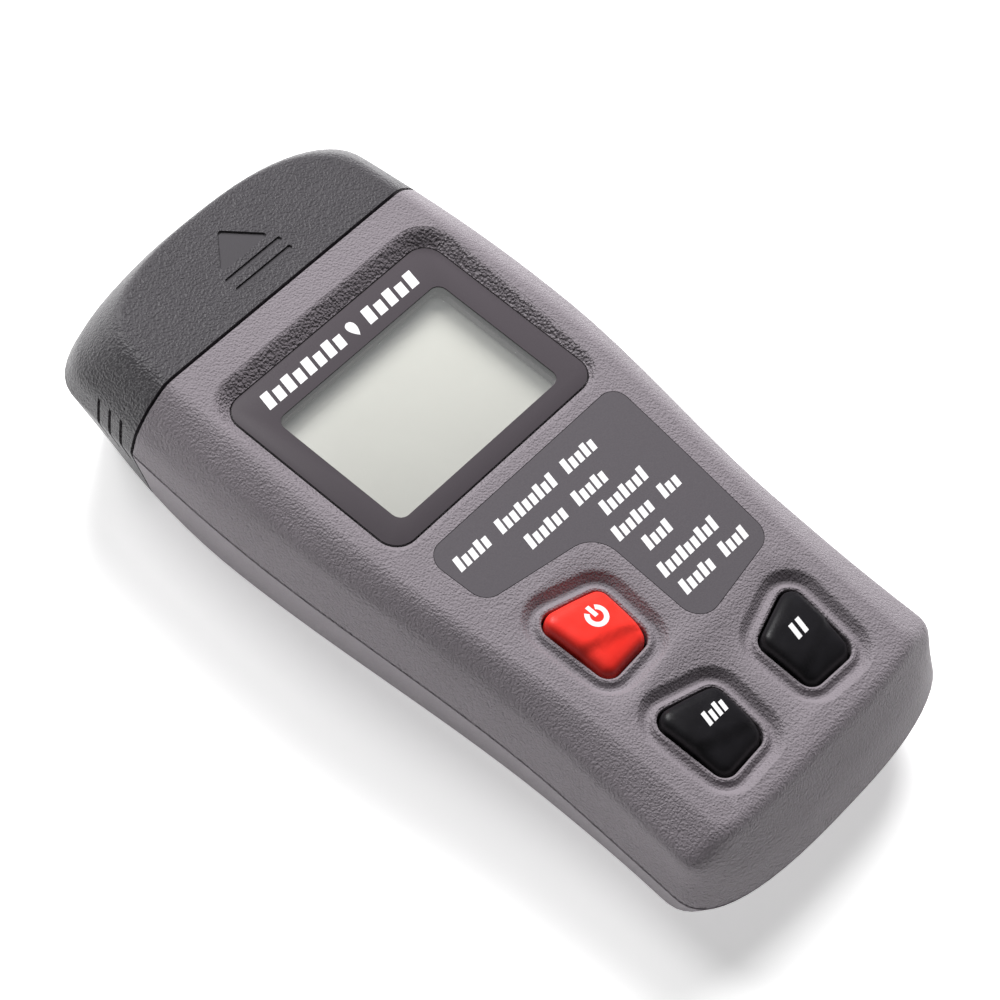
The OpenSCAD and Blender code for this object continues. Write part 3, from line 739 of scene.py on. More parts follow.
finish_piece("case_rear", rear, grey_back, "case", ["rear_shell"])

# ---- Pin cap ----
# A charcoal ABS hood that slides over the neck and guards the pins. Its top carries a smooth sunken
# arrow with two bars, and each flank three thin grip slots.
CHARCOAL = (0.068, 0.064, 0.070)
JOINT_MID = Level(joint_half, 0.05, below_face(JOINT_DEPTH), 0, 0, (9, 2.6), (10, 2.6))
cap_levels = [BACK_IN, BACK_EDGE, JOINT_MID, FLANK, SHOULDER, ROLL, FACE_EDGE, FACE_IN]
cap_mouth = SEAM_Y + SEAM_GAP
cap = case_loft(soften_halves(
    [cap_half(level, cap_mouth) for level in cap_levels], [2.2, 0.5, 1.6, 1.5, 1.1, 0.6]
))
cap_hollow = case_loft([
    cap_half(BACK_EDGE, SEAM_Y - 1, CAP_WALL + 0.6, CAP_WALL),
    cap_half(BACK_EDGE, SEAM_Y - 1, CAP_WALL - 0.9, CAP_WALL + 1),
    cap_half(JOINT_MID, SEAM_Y - 1, CAP_WALL),
    cap_half(SHOULDER, SEAM_Y - 1, CAP_WALL),
    cap_half(ROLL, SEAM_Y - 1, CAP_WALL, -1.4),
    cap_half(FACE_IN, SEAM_Y - 1, 0, -CAP_WALL),
])
ARROW_SINK = 0.32


def sunken(points):
    """A flat-bottomed pocket in the top of the cap, with walls that lean out."""
    middle = sum((Vector(p) for p in points), Vector((0, 0))) / len(points)
    low = [Vector((*p, HEIGHT - ARROW_SINK)) for p in points]
    high = [Vector((*(Vector(p) + unit(Vector(p) - middle) * 0.25), HEIGHT + 0.1)) for p in points]
    return ring_loft([low, high])


arrow = sunken([p for p, n in rounded_outline([(-5.3, 53.2), (5.3, 53.2), (0, 58.9)], [0.5, 0.5, 0.6])])
bars = [sunken([p for p, n in box_outline(11.6, 0.8, y, 0.3)]) for y in (51.5, 49.3)]


def grip_slot(side, top_y, low_y):
    """A thin slot down the flank, from near the shoulder to below the middle line."""
    rings = []
    for t in (0, 0.12, 0.3, 0.46, 0.75, 1):
        y = top_y + (low_y - top_y) * t
        z = 22.4 - 9.4 * t
        out = joint_half(y) - abs(z - 18.1) * (0.17 if z > 18.1 else 0.27)
        deep = 0.9 * min(1, 4 * t + 0.2, 4 * (1 - t) + 0.1)
        rings.append([
            Vector((side * (out - deep), y - 0.28, z)), Vector((side * (out - deep), y + 0.28, z)),
            Vector((side * (out + 1.2), y + 0.34, z)), Vector((side * (out + 1.2), y - 0.34, z)),
        ])
    return ring_loft(rings)


slots = [
    grip_slot(side, top_y, low_y)
    for side in (-1, 1) for top_y, low_y in ((53.3, 51.3), (50.8, 48.8), (48.3, 46.3))
]
cap = carve(cap, "DIFFERENCE", cap_hollow, arrow, *bars, *slots)
charcoal_cap = moulded_plastic("pebbled charcoal cap", CHARCOAL, 0.42, 0.00038, 0.00016, 0.6)
smooth_charcoal = moulded_plastic("smooth charcoal", CHARCOAL, 0.42, 0.0003, 0.000006)
finish_piece(
    "cap_hood", cap, charcoal_cap, "cap", ["pin_cap"], 24, smooth_charcoal,
    lambda middle, normal: abs(middle.x) < 7 and HEIGHT - 0.4 < middle.z < HEIGHT - 0.25 and middle.y < 60,
)

# ---- Lens, printed border and display ----
# A clear acrylic plate glued into the recess, with a satin dark border printed on it. Under it lies
# the grey liquid crystal glass. A row of plain slanted marks and a drop stands above the window.
PRINT_LIFT = 0.03
PRINT_ROOT = 0.04
SLANT = 0.22


def bevelled_plate(points, low, high, rim):
    """A plate whose upper edge is rounded off by rim; points are outline pairs."""
    def ring(inset, z):
        return [Vector((*(p - n * inset), z)) for p, n in points]

    return ring_loft([
        ring(rim * 0.5, low), ring(0, low + rim * 0.5), ring(0, high - rim),
        ring(rim * 0.3, high - rim * 0.3), ring(rim, high),
    ])


BORDER_THICK = 0.1
lens_plate = bevelled_plate(
    box_outline(LENS_W, LENS_H, LENS_Y, LENS_CORNER), SEAT_Z, LENS_TOP - BORDER_THICK - 0.01, 0.12
)
clear, skin, place = new_material("clear acrylic")
skin.inputs["Base Color"].default_value = (0.85, 0.87, 0.86, 1)
skin.inputs["Alpha"].default_value = 0.10
(grains(place, 0.004) * 0.04 + 0.03).feed(skin, "Roughness")
finish_piece("lens_plate", lens_plate, clear, "case", ["display_lens"])

border = bevelled_plate(
    box_outline(LENS_W, LENS_H, LENS_Y, LENS_CORNER, -0.05), LENS_TOP - BORDER_THICK, LENS_TOP, 0.05
)
border = carve(border, "DIFFERENCE", prism(window_line, LENS_TOP - 1, LENS_TOP + 1))
border_ink = printed(
    "satin dark border", (0.058, 0.050, 0.057), (0.074, 0.064, 0.072), 0.0002, (0.0005, 0.1, 0.36),
    0.00025, 0.000006, 3, 0.3,
)
finish_piece("lens_frame_print", border, border_ink, "case", ["lens_border"])

white_ink = printed(
    "white ink", (0.78, 0.77, 0.78), (0.9, 0.89, 0.9), 0.0006, (0.0004, 0.15, 0.4), 0.00015, 0.00001
)


def ink_patch(bm, points, height_at):
    """A thin printed patch with the given corners, lying on a surface."""
    upper, lower = (
        ring_edges(bm, [(x, y, height_at(x, y) + lift) for x, y in points])
        for lift in (PRINT_LIFT, -PRINT_ROOT)
    )
    bmesh.ops.bridge_loops(bm, edges=upper + lower)
    bmesh.ops.contextual_create(bm, geom=upper)
    bmesh.ops.contextual_create(bm, geom=lower)


def slanted_marks(bm, x, y, count, pitch, width, height, height_at, heights=(1,)):
    """A row of slanted blocks that starts at x and stands on y."""
    for i in range(count):
        left = x + i * pitch
        tall = height * heights[i % len(heights)]
        right = left + width
        lean = SLANT * tall
        ink_patch(bm, [(left, y), (right, y), (right + lean, y + tall), (left + lean, y + tall)], height_at)


def drop_points(x, y, size):
    """The outline of a drop that stands on its round end."""
    made = []
    for i in range(28):
        a = 2 * math.pi * i / 28
        made.append((x + size * 0.62 * math.sin(a) * math.sin(a / 2), y - size * 0.8 * math.cos(a)))
    return made


def on_lens(x, y):
    return LENS_TOP


HEADER_Y = 31.8
HEADER_TALL = 2.8
header = bmesh.new()
for start_x, count, pitch, width in ((-17.2, 8, 2.2, 1.55), (4.9, 5, 2.35, 1.65)):
    slanted_marks(header, start_x, HEADER_Y, count, pitch, width, HEADER_TALL, on_lens, (1, 0.8))
ink_patch(header, drop_points(2.4, 33.1, 1.8), on_lens)
bmesh.ops.recalc_face_normals(header, faces=header.faces)
finish_piece("header_marks", header, white_ink, "case")

def soft_block(low, high, round_off, segments=3):
    """A block with all its edges rounded."""
    bm = block(low, high)
    bmesh.ops.bevel(
        bm, geom=bm.edges[:], offset=round_off, segments=segments, profile=0.5, affect="EDGES", material=-1
    )
    return bm


def together(shapes):
    """Several shapes in one mesh."""
    made = bmesh.new()
    for shape in shapes:
        mesh = bpy.data.meshes.new("shape")
        shape.to_mesh(mesh)
        shape.free()
        made.from_mesh(mesh)
        bpy.data.meshes.remove(mesh)
    return made


def corners_of(node):
    """The lowest and highest corner of a node, in millimetres."""
    low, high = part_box(node)
    return low / MM, high / MM


# Two sheets of glass, the upper one shorter to leave a ledge for the contacts, and a polarising film
GLASS_LEDGE = 2.2
GLASS_ROUND = 0.12
FILM_THICK = 0.2
FILM_INSET = 0.8
lcd_low, lcd_high = corners_of("lcd_glass")
glass_split = lcd_high.z - 1.1
glass_layers = (
    (lcd_low, (lcd_high.x, lcd_high.y, glass_split - 0.05)),
    ((lcd_low.x, lcd_low.y + GLASS_LEDGE, glass_split), (lcd_high.x, lcd_high.y, lcd_high.z - FILM_THICK)),
    ((lcd_low.x + FILM_INSET, lcd_low.y + GLASS_LEDGE + FILM_INSET, lcd_high.z - FILM_THICK - 0.02),
     (lcd_high.x - FILM_INSET, lcd_high.y - FILM_INSET, lcd_high.z)),
)
lcd = together([soft_block(low, high, GLASS_ROUND, 2) for low, high in glass_layers])
lcd_skin, skin, place = new_material("grey liquid crystal")
coat(
    skin, grains(place, 0.012) * 0.6 + grains(place, 0.0006) * 0.4,
    (0.430, 0.425, 0.385, 1), (0.480, 0.476, 0.436, 1),
    grains(place, 0.002) * 0.1 + 0.3, grains(place, 0.0003), 0.000004,
)
finish_piece("lcd_stack", lcd, lcd_skin, "case", ["lcd_glass"])

# ---- Wood label ----
# A charcoal printed film in a shallow pocket of the face. Rows of plain slanted blocks stand where
# the kinds of wood are listed; they form no letters.
label_film, skin, place = new_material("charcoal film")
fine = grains(place, 0.00025, 3)
coat(skin, fine, (0.088, 0.080, 0.090, 1), (0.118, 0.108, 0.118, 1), fine * 0.16 + 0.36, fine, 0.000012)
skin.inputs["Specular IOR Level"].default_value = 0.3
finish_piece(
    "label_film", label_shape(0, -LABEL_THICK, 0), label_film, "case", ["wood_label"]
)


def on_face(x, y):
    return face_z(y)


MARK_HEIGHTS = (1, 0.74, 0.74, 0.92, 0.74, 0.74, 1, 0.74)
MARK_PITCH = 1.42
MARK_WIDTH = 1.02
MARK_TALL = 2.35
WORD_GAP = 2.0
# Each row: where it starts, and how many marks stand in each of its words
label_rows = (
    (-18.4, -7.0, (5, 9, 5)), (-8.0, -11.7, (6, 5)), (4.4, -15.6, (7,)), (2.4, -19.7, (6, 3)),
    (4.6, -23.8, (4,)), (2.8, -28.3, (9,)), (3.0, -32.3, (5, 4)),
)
writing = bmesh.new()
for x, y, words in label_rows:
    for count in words:
        slanted_marks(writing, x, y, count, MARK_PITCH, MARK_WIDTH, MARK_TALL, on_face, MARK_HEIGHTS)
        x += count * MARK_PITCH + WORD_GAP
bmesh.ops.recalc_face_normals(writing, faces=writing.faces)
finish_piece("label_marks", writing, white_ink, "case")

# ---- Keys ----
# Three silicone keys, one red and two black, each with a pillowed top that steps down across its
# lower third. They are moulded with a flange that keeps them in the case, and printed in white.
KEY_GAP = 0.35
KEY_RISE = 1.25
STEP_FROM = Vector((-4.0, -1.5))
STEP_TO = Vector((5.0, -4.4))
STEP_DROP = 0.62


def resample(points, longest):
    """The closed outline with points added so that no stretch is longer than given."""
    made = []
    for a, b in zip(points, points[1:] + points[:1]):
        parts = max(1, math.ceil((b - a).length / longest))
        made += [a + (b - a) * k / parts for k in range(parts)]
    return made


class Key:
    """A key at a place on the face, with the height of its top at each point."""

    def __init__(self, at):
        self.at = at
        self.side = -1 if at.x > 0 else 1
        self.along = unit(STEP_TO - STEP_FROM)

    def top(self, x, y):
        local = Vector(((x - self.at.x) * self.side, y - self.at.y))
        from_step = local - STEP_FROM
        above = self.along.x * from_step.y - self.along.y * from_step.x
        crown = 0.014 * local.length_squared
        step = STEP_DROP * ease((0.75 - above) / 1.5) + 0.05 * max(0, -above - 1)
        return face_z(y) + KEY_RISE - crown - step

    def ring(self, out, sink, shrink=1.0):
        made = []
        for p in resample(key_outline(self.at, out), 0.55):
            q = self.at + (p - self.at) * shrink
            made.append(Vector((q.x, q.y, self.top(q.x, q.y) - sink)))
        return made

    def level_ring(self, out, z):
        return [Vector((p.x, p.y, z)) for p in resample(key_outline(self.at, out), 0.55)]

    def shape(self, low):
        flange_top = low + 0.6
        rings = [
            self.level_ring(0.85, low), self.level_ring(0.85, flange_top),
            self.level_ring(-KEY_GAP, flange_top + 0.1),
        ]
        for inset, sink in ((0, 2.4), (0.05, 1.5), (0.18, 0.95), (0.42, 0.52), (0.8, 0.22), (1.3, 0.06)):
            rings.append(self.ring(-KEY_GAP - inset, sink))
        rings += [self.ring(-KEY_GAP - 1.3, 0, shrink) for shrink in (0.86, 0.72, 0.58, 0.44, 0.3, 0.15)]
        return ring_loft(rings)

    def place(self, x, y):
        """A point given from the key's middle, in the way the key is read."""
        return (self.at.x + x, self.at.y + y)


def silicone(name, dark, light, roughness):
    """Moulded silicone: soft, with a faint bloom and specks of dust."""
    made, skin, place = new_material(name)
    bloom = grains(place, 0.003)
    specks = grains(place, 0.0004, 1) > 0.74
    coat(
        skin, bloom * 0.8 + specks * 0.12, shade_of(dark), shade_of(light),
        bloom * 0.12 + specks * 0.2 + roughness, grains(place, 0.0003, 3), 0.000012,
    )
    return made


red_silicone = silicone("red silicone", (0.90, 0.026, 0.018), (1.0, 0.062, 0.046), 0.34)
black_silicone = silicone("black silicone", (0.0075, 0.0070, 0.0082), (0.018, 0.017, 0.020), 0.33)
keys = {
    "power": (Key(POWER_AT), red_silicone, "red_silicone"),
    "mode": (Key(MODE_AT), black_silicone, "black_silicone"),
    "hold": (Key(HOLD_AT), black_silicone, "black_silicone"),
}
for name, (key, rubber, slot) in keys.items():
    key_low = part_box(name + "_key")[0].z / MM
    finish_piece(name + "_cap", key.shape(key_low), rubber, name + "_button", [name + "_key"], 50)


def arc_patches(bm, key, x, y, radius, width, start, stop, parts=20):
    """A curved stroke, in short pieces, round a point of the key."""
    for i in range(parts):
        corners = []
        for angle, r in ((i, radius), (i + 1, radius), (i + 1, radius + width), (i, radius + width)):
            a = math.radians(start + (stop - start) * angle / parts)
            corners.append(key.place(x + r * math.sin(a), y + r * math.cos(a)))
        ink_patch(bm, corners, key.top)


def bar_patches(bm, key, x, y, width, height, lean=0.0, parts=4):
    """A straight stroke, in short pieces so that it follows the key's top."""
    for i in range(parts):
        low, high = y + height * i / parts, y + height * (i + 1) / parts
        shift_low, shift_high = lean * (low - y), lean * (high - y)
        ink_patch(bm, [
            key.place(x + shift_low, low), key.place(x + width + shift_low, low),
            key.place(x + width + shift_high, high), key.place(x + shift_high, high),
        ], key.top)


power_mark = bmesh.new()
arc_patches(power_mark, keys["power"][0], 1.0, 0.7, 1.05, 0.8, 36, 324)
bar_patches(power_mark, keys["power"][0], 0.64, 0.7, 0.72, 1.95)
mode_mark = bmesh.new()
for i in range(4):
    bar_patches(mode_mark, keys["mode"][0], -0.9 + i * 1.15, -0.4, 0.75, 2.2 - 0.5 * (i % 2), SLANT)
hold_mark = bmesh.new()
for i in range(2):
    bar_patches(hold_mark, keys["hold"][0], -1.6 + i * 1.5, -0.6, 0.85, 2.5, SLANT)
for name, mark in (("power", power_mark), ("mode", mode_mark), ("hold", hold_mark)):
    bmesh.ops.recalc_face_normals(mark, faces=mark.faces)
    finish_piece(name + "_mark", mark, white_ink, name + "_button")

# ---- Display frame and contact strips ----
# A white nylon frame clips round the display glass and carries it above the board. Two strips of
# layered rubber, conducting in every second layer, are squeezed between the glass and the board.


def dress(material, *nodes):
    """Gives pieces that keep their first shape a better finish."""
    for node in nodes:
        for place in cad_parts[node].material_slots:
            place.material = material


white_nylon = moulded_plastic("white nylon", (0.72, 0.72, 0.70), 0.45, 0.0004, 0.00002)
dress(white_nylon, "lcd_frame")
layered, skin, place = new_material("layered contact rubber")
across = place.node("ShaderNodeSeparateXYZ", None, {"Vector": place})
LAYERS_PER_METRE = 4000
pale_layers = across.maths("FRACT", across * LAYERS_PER_METRE) > 0.5
coat(
    skin, pale_layers, (0.012, 0.012, 0.013, 1), (0.25, 0.25, 0.26, 1),
    grains(place, 0.0005) * 0.2 + 0.5, pale_layers, 0.00003,
)
dress(layered, "zebra_strips")

# ---- Keypad mat and pills ----
# A dark silicone sheet under the keys springs them back. A carbon pill stuck under each key closes
# its contact on the board when the key goes down by a millimetre.
dark_silicone = silicone("dark silicone sheet", (0.030, 0.030, 0.034), (0.060, 0.060, 0.066), 0.5)
dress(dark_silicone, "keypad_mat")
carbon = printed(
    "carbon pill", (0.010, 0.010, 0.010), (0.045, 0.045, 0.047), 0.0002, (0.0003, 0.3, 0.4),
    0.0002, 0.00003, 4,
)
dress(carbon, "power_pill", "mode_pill", "hold_pill")

# ---- Circuit board ----
# A glass-fibre board with a green solder mask over its copper tracks. Four screws hold it to the
# front shell, and all its parts are soldered to the side that faces the battery bay.
masked_board, skin, place = new_material("green circuit board")
tracks = place.node("ShaderNodeTexVoronoi", {"distance": "CHEBYCHEV"}, {"Vector": place, "Scale": 420})
ringed = tracks.maths("FRACT", tracks * 3.5) > 0.66
dotted = place.node("ShaderNodeTexVoronoi", None, {"Vector": place, "Scale": 300})
via = dotted < 0.16
mask = ringed.blend((0.006, 0.070, 0.028, 1), (0.014, 0.130, 0.050, 1))
coat(
    skin, via, mask, (0.62, 0.60, 0.55, 1), 0.42 - via * 0.15 + grains(place, 0.001) * 0.06,
    ringed + via, 0.00003,
)
via.feed(skin, "Metallic")
dress(masked_board, "main_board")


def metal(name, colour, roughness, stretch=(1, 1, 1), grain=0.0003):
    """Metal with a fine grain that can be drawn out along one axis."""
    made, skin, place = new_material(name)
    drawn = place.node("ShaderNodeMapping", None, {"Vector": place, "Scale": stretch})
    lines = grains(drawn, grain, 3)
    dark, light = shade_of(colour, 0.78), shade_of(colour, 1.12)
    coat(skin, lines, dark, light, lines * 0.24 + roughness - 0.12, lines, 0.000008)
    skin.inputs["Metallic"].default_value = 1
    return made


def turned(profile, base, axis=(0, 0, 1), steps=48):
    """A solid turned from a profile of (radius, distance along the axis) that starts and ends on it."""
    bm = bmesh.new()
    line = [bm.verts.new((radius, 0, along)) for radius, along in profile]
    edges = [bm.edges.new(pair) for pair in zip(line, line[1:])]
    bmesh.ops.spin(
        bm, geom=line + edges, cent=(0, 0, 0), axis=(0, 0, 1), angle=2 * math.pi, steps=steps, use_merge=True
    )
    bmesh.ops.remove_doubles(bm, verts=bm.verts, dist=0.0005)
    way = Vector((0, 0, 1)).rotation_difference(Vector(axis)).to_matrix()
    bmesh.ops.rotate(bm, cent=(0, 0, 0), matrix=way, verts=bm.verts)
    bmesh.ops.translate(bm, vec=Vector(base), verts=bm.verts)
    bmesh.ops.recalc_face_normals(bm, faces=bm.faces)
    return bm


chip_low, chip_high = corners_of("controller_chip")
LEG_REACH = 1.1
LEG_COUNT = 11
LEG_PITCH = 0.8
LEG_HALF = 0.17
chip_body = soft_block(
    (chip_low.x + LEG_REACH, chip_low.y + LEG_REACH, chip_low.z),
    (chip_high.x - LEG_REACH, chip_high.y - LEG_REACH, chip_high.z - 0.1), 0.12,
)
first_leg_dot = rod((chip_low.x + 2.3, chip_low.y + 2.3, chip_low.z - 0.1),
                    (chip_low.x + 2.3, chip_low.y + 2.3, chip_low.z + 0.12), 0.45)
chip_body = carve(chip_body, "DIFFERENCE", first_leg_dot)
chip_middle = (chip_low + chip_high) / 2
chip_half = (chip_high.x - chip_low.x) / 2
legs = []
for i in range(LEG_COUNT):
    near, far = ((i - LEG_COUNT // 2) * LEG_PITCH + way * LEG_HALF for way in (-1, 1))
    for side in (-1, 1):
        for x_way in (0, 1):
            inner, bend, outer = (side * (chip_half - d) for d in (LEG_REACH, 0.62, 0))
            low_x, high_x = sorted((inner, bend))
            foot_x, toe_x = sorted((bend, outer))
            leg = [
                ((low_x, near, chip_middle.z - 0.1), (high_x, far, chip_middle.z + 0.1)),
                ((foot_x, near, chip_high.z - 0.22), (toe_x, far, chip_high.z)),
                ((bend - 0.09, near, chip_middle.z - 0.1), (bend + 0.09, far, chip_high.z)),
            ]
            for low, high in leg:
                if x_way:
                    low, high = (low[1], low[0], low[2]), (high[1], high[0], high[2])
                middle = Vector((chip_middle.x, chip_middle.y, 0))
                legs.append(block(Vector(low) + middle, Vector(high) + middle))
black_epoxy = moulded_plastic("black epoxy", (0.016, 0.016, 0.017), 0.48, 0.0003, 0.00001)
tinned = metal("tinned copper", (0.66, 0.66, 0.64), 0.32)
finish_piece("chip_body", chip_body, black_epoxy, "case", ["controller_chip"])
finish_piece("chip_legs", together(legs), tinned, "case", ())

# ---- Board parts ----
# A quartz can, a trimming resistor for the calibration, a capacitor in a plastic sleeve, a row of
# small resistors and two small packages, all soldered to the board.
BOARD_LOW = corners_of("main_board")[0].z


def on_board(x, y, width, length, tall, round_off, lift=0.0):
    """A rounded block under the board, from its corner with the least x and y."""
    return soft_block((x, y, BOARD_LOW - tall), (x + width, y + length, BOARD_LOW - lift), round_off)


can = on_board(10.5, 24.5, 4.6, 10.8, 3.6, 1.2, 0.2)
can_rim = on_board(10.5, 24.5, 4.6, 10.8, 0.5, 0.15)
finish_piece("quartz_can", together([can, can_rim]), tinned, "case", ["board_components"])
trimmer = on_board(-17, 28, 6.6, 6.6, 3.9, 0.25)
blue_plastic = moulded_plastic("blue trimmer", (0.02, 0.07, 0.30), 0.4, 0.0003, 0.00001)
finish_piece("trimmer_body", trimmer, blue_plastic, "case")
dial_middle = Vector((-13.7, 31.3, BOARD_LOW - 4.5))
dial = turned([(0, 0), (1.35, 0), (1.5, 0.15), (1.5, 0.8), (0, 0.8)], dial_middle)
dial_slot = block(dial_middle + Vector((-1.2, -0.2, -0.5)), dial_middle + Vector((1.2, 0.2, 0.45)))
brass = metal("turned brass", (0.72, 0.50, 0.20), 0.3)
finish_piece("trimmer_dial", carve(dial, "DIFFERENCE", dial_slot), brass, "case")
can_profile = [
    (0, 0.1), (1.9, 0.1), (2.1, 0), (2.45, 0.05), (2.6, 0.3), (2.6, 4.6), (2.38, 4.9), (2.38, 5.2),
    (2.6, 5.5), (2.6, 6), (0, 6),
]
CAPACITOR_AT = Vector((12.5, 19))
CAPACITOR_TALL = 6
sleeve_black = moulded_plastic("shrunk black sleeve", (0.020, 0.021, 0.024), 0.35, 0.0006, 0.00001)
finish_piece(
    "capacitor", turned(can_profile, (*CAPACITOR_AT, BOARD_LOW - CAPACITOR_TALL)), sleeve_black, "case",
    other=tinned, where=lambda middle, normal: (
        middle.z < BOARD_LOW - CAPACITOR_TALL + 0.15 and (middle.xy - CAPACITOR_AT).length < 2.1
    ),
)
resistors = [on_board(-17.5, 9 + 3 * i, 3.2, 1.6, 0.6, 0.08) for i in range(5)]
packages = [on_board(-2.5, y, 5, 4, 1.5, 0.15, 0.1) for y in (29.5, 5.5)]
RESISTOR_X = -15.9
finish_piece(
    "resistor_row", together(resistors), black_epoxy, "case",
    other=tinned, where=lambda middle, normal: abs(middle.x - RESISTOR_X) > 1.15,
)
finish_piece("small_packages", together(packages), black_epoxy, "case")

# ---- Pin block, posts, nuts and pins ----
# Two brass posts stand in a black nylon block between the shells. Hexagon nuts clamp a pair of
# pointed steel pins onto them, so that worn pins can be changed. A lead runs from each to the board.
black_nylon = moulded_plastic("black nylon", (0.022, 0.022, 0.024), 0.5, 0.0005, 0.00003)
dress(black_nylon, "pin_block")
dress(brass, "pin_posts")
nut_low, nut_high = corners_of("pin_nuts")
NUT_RADIUS = 3.1
BORE = 2.1
nut_length = nut_high.y - nut_low.y
nuts = []
for side in (-1, 1):
    seat = Vector((side * PIN_HALF, nut_low.y, PIN_Z))
    blank = turned([
        (0, 0), (2.55, 0), (NUT_RADIUS + 0.02, 0.42), (NUT_RADIUS + 0.02, nut_length - 0.42),
        (2.55, nut_length), (0, nut_length),
    ], seat, (0, 1, 0), 96)
    hexagon = [
        [seat + Vector((NUT_RADIUS * math.cos(math.pi * k / 3), y, NUT_RADIUS * math.sin(math.pi * k / 3)))
         for k in range(6)]
        for y in (-1, nut_length + 1)
    ]
    nut = carve(blank, "INTERSECT", ring_loft(hexagon))
    thread = rod(seat - Vector((0, 1, 0)), seat + Vector((0, 2.25, 0)), BORE)
    pin_hole = rod(seat, seat + Vector((0, nut_length + 1, 0)), 1.02)
    cone = rod(seat + Vector((0, nut_length - 0.5, 0)), seat + Vector((0, nut_length + 0.1, 0)), 1.02, 1.7)
    nuts.append(carve(nut, "DIFFERENCE", thread, pin_hole, cone))
nickel = metal("nickel plate", (0.66, 0.64, 0.60), 0.22)
finish_piece("pin_nut_pair", together(nuts), nickel, "case", ["pin_nuts"])
ground_steel = metal("ground steel", (0.58, 0.58, 0.60), 0.24, (1, 14, 1))
TAPER = 3.2
for side, name in ((-1, "left"), (1, "right")):
    pin_low, pin_high = corners_of("probe_pin_" + name)
    pin_length = pin_high.y - pin_low.y
    pin_radius = (pin_high.x - pin_low.x) / 2
    outline = [(0, 0), (pin_radius - 0.1, 0), (pin_radius, 0.1), (pin_radius, pin_length - TAPER - 0.3)]
    for t in (0, 0.3, 0.6, 0.8, 0.97):
        outline.append((pin_radius * (1 - t) ** 0.9 + 0.04, pin_length - TAPER * (1 - t)))
    outline.append((0, pin_length))
    pin = turned(outline, (side * PIN_HALF, pin_low.y, PIN_Z), (0, 1, 0), 40)
    finish_piece("steel_pin_" + name, pin, ground_steel, "case", ["probe_pin_" + name], 30)


def sheathed(name, dark, light):
    """Soft coloured insulation with a faint sheen."""
    made, skin, place = new_material(name)
    tone = grains(place, 0.002)
    coat(skin, tone, shade_of(dark), shade_of(light), tone * 0.15 + 0.35, grains(place, 0.0004), 0.00001)
    return made


dress(sheathed("white insulation", (0.62, 0.62, 0.60), (0.80, 0.80, 0.78)), "probe_lead_left")
black_insulation = sheathed("black insulation", (0.010, 0.010, 0.011), (0.022, 0.022, 0.024))
dress(black_insulation, "probe_lead_right")

# ---- Cells ----
# Two small dry cells lie side by side, nose to tail. Each is a steel can in a printed plastic sleeve
# that is shrunk over its ends, with a pale ring near the raised terminal.


def printed_sleeve(name, ring_y):
    """A shrunk sleeve in slate blue, with a pale ring at a place along the cell."""
    made, skin, place = new_material(name)
    along = place.node("ShaderNodeSeparateXYZ", None, {"Vector": place}, "Y")
    from_ring = along.maths("ABSOLUTE", along - ring_y * MM)
    ring = from_ring < 0.0022
    thin_ring = along.maths("ABSOLUTE", from_ring - 0.0034) < 0.0003
    base = grains(place, 0.004).blend((0.030, 0.075, 0.130, 1), (0.040, 0.092, 0.155, 1))
    pale = ring.maths("MAXIMUM", ring, thin_ring)
    coat(
        skin, pale, base, (0.66, 0.68, 0.66, 1),
        grains(place, 0.0008) * 0.1 + 0.2, grains(place, 0.003) + pale * 0.2, 0.00002,
    )
    return made


plated = metal("plated can", (0.64, 0.64, 0.66), 0.26)
CELL_RADIUS = 5.25
CELL_HIGH = 8.1
for name, way in (("left", 1), ("right", -1)):
    cell_low, cell_high = corners_of("cell_" + name)
    length = cell_high.y - cell_low.y
    body = length - 0.9
    profile = [
        (0, 0), (4.3, 0), (4.4, 0.12), (4.7, 0.05), (5.0, 0.02), (CELL_RADIUS, 0.3),
        (CELL_RADIUS, body - 0.35), (5.0, body - 0.02), (4.6, body - 0.06), (4.35, body - 0.25),
        (2.3, body - 0.2), (1.95, body - 0.1), (1.9, length - 0.2), (1.7, length), (0, length),
    ]
    start = cell_low.y if way > 0 else cell_high.y
    middle = Vector(((cell_low.x + cell_high.x) / 2, start, CELL_HIGH))
    sleeve = printed_sleeve("slate sleeve " + name, start + way * (body - 7))
    finish_piece(
        "dry_cell_" + name, turned(profile, middle, (0, way, 0), 64), sleeve, "case", ["cell_" + name],
        30, plated,
        lambda spot, normal, middle=middle: Vector((spot.x - middle.x, spot.z - middle.z)).length < 4.4,
    )

# ---- Battery contacts ----
# Stamped nickel-plated steel plates stand at the ends of the bay, two with a coil spring. A red and
# a black lead join them to the board.
spring_steel = metal("plated spring steel", (0.62, 0.61, 0.58), 0.28)
dress(spring_steel, "bridge_contact", "positive_contact", "negative_contact", "contact_springs")
dress(sheathed("red insulation", (0.42, 0.012, 0.010), (0.60, 0.025, 0.020)), "battery_lead_red")
dress(black_insulation, "battery_lead_black")

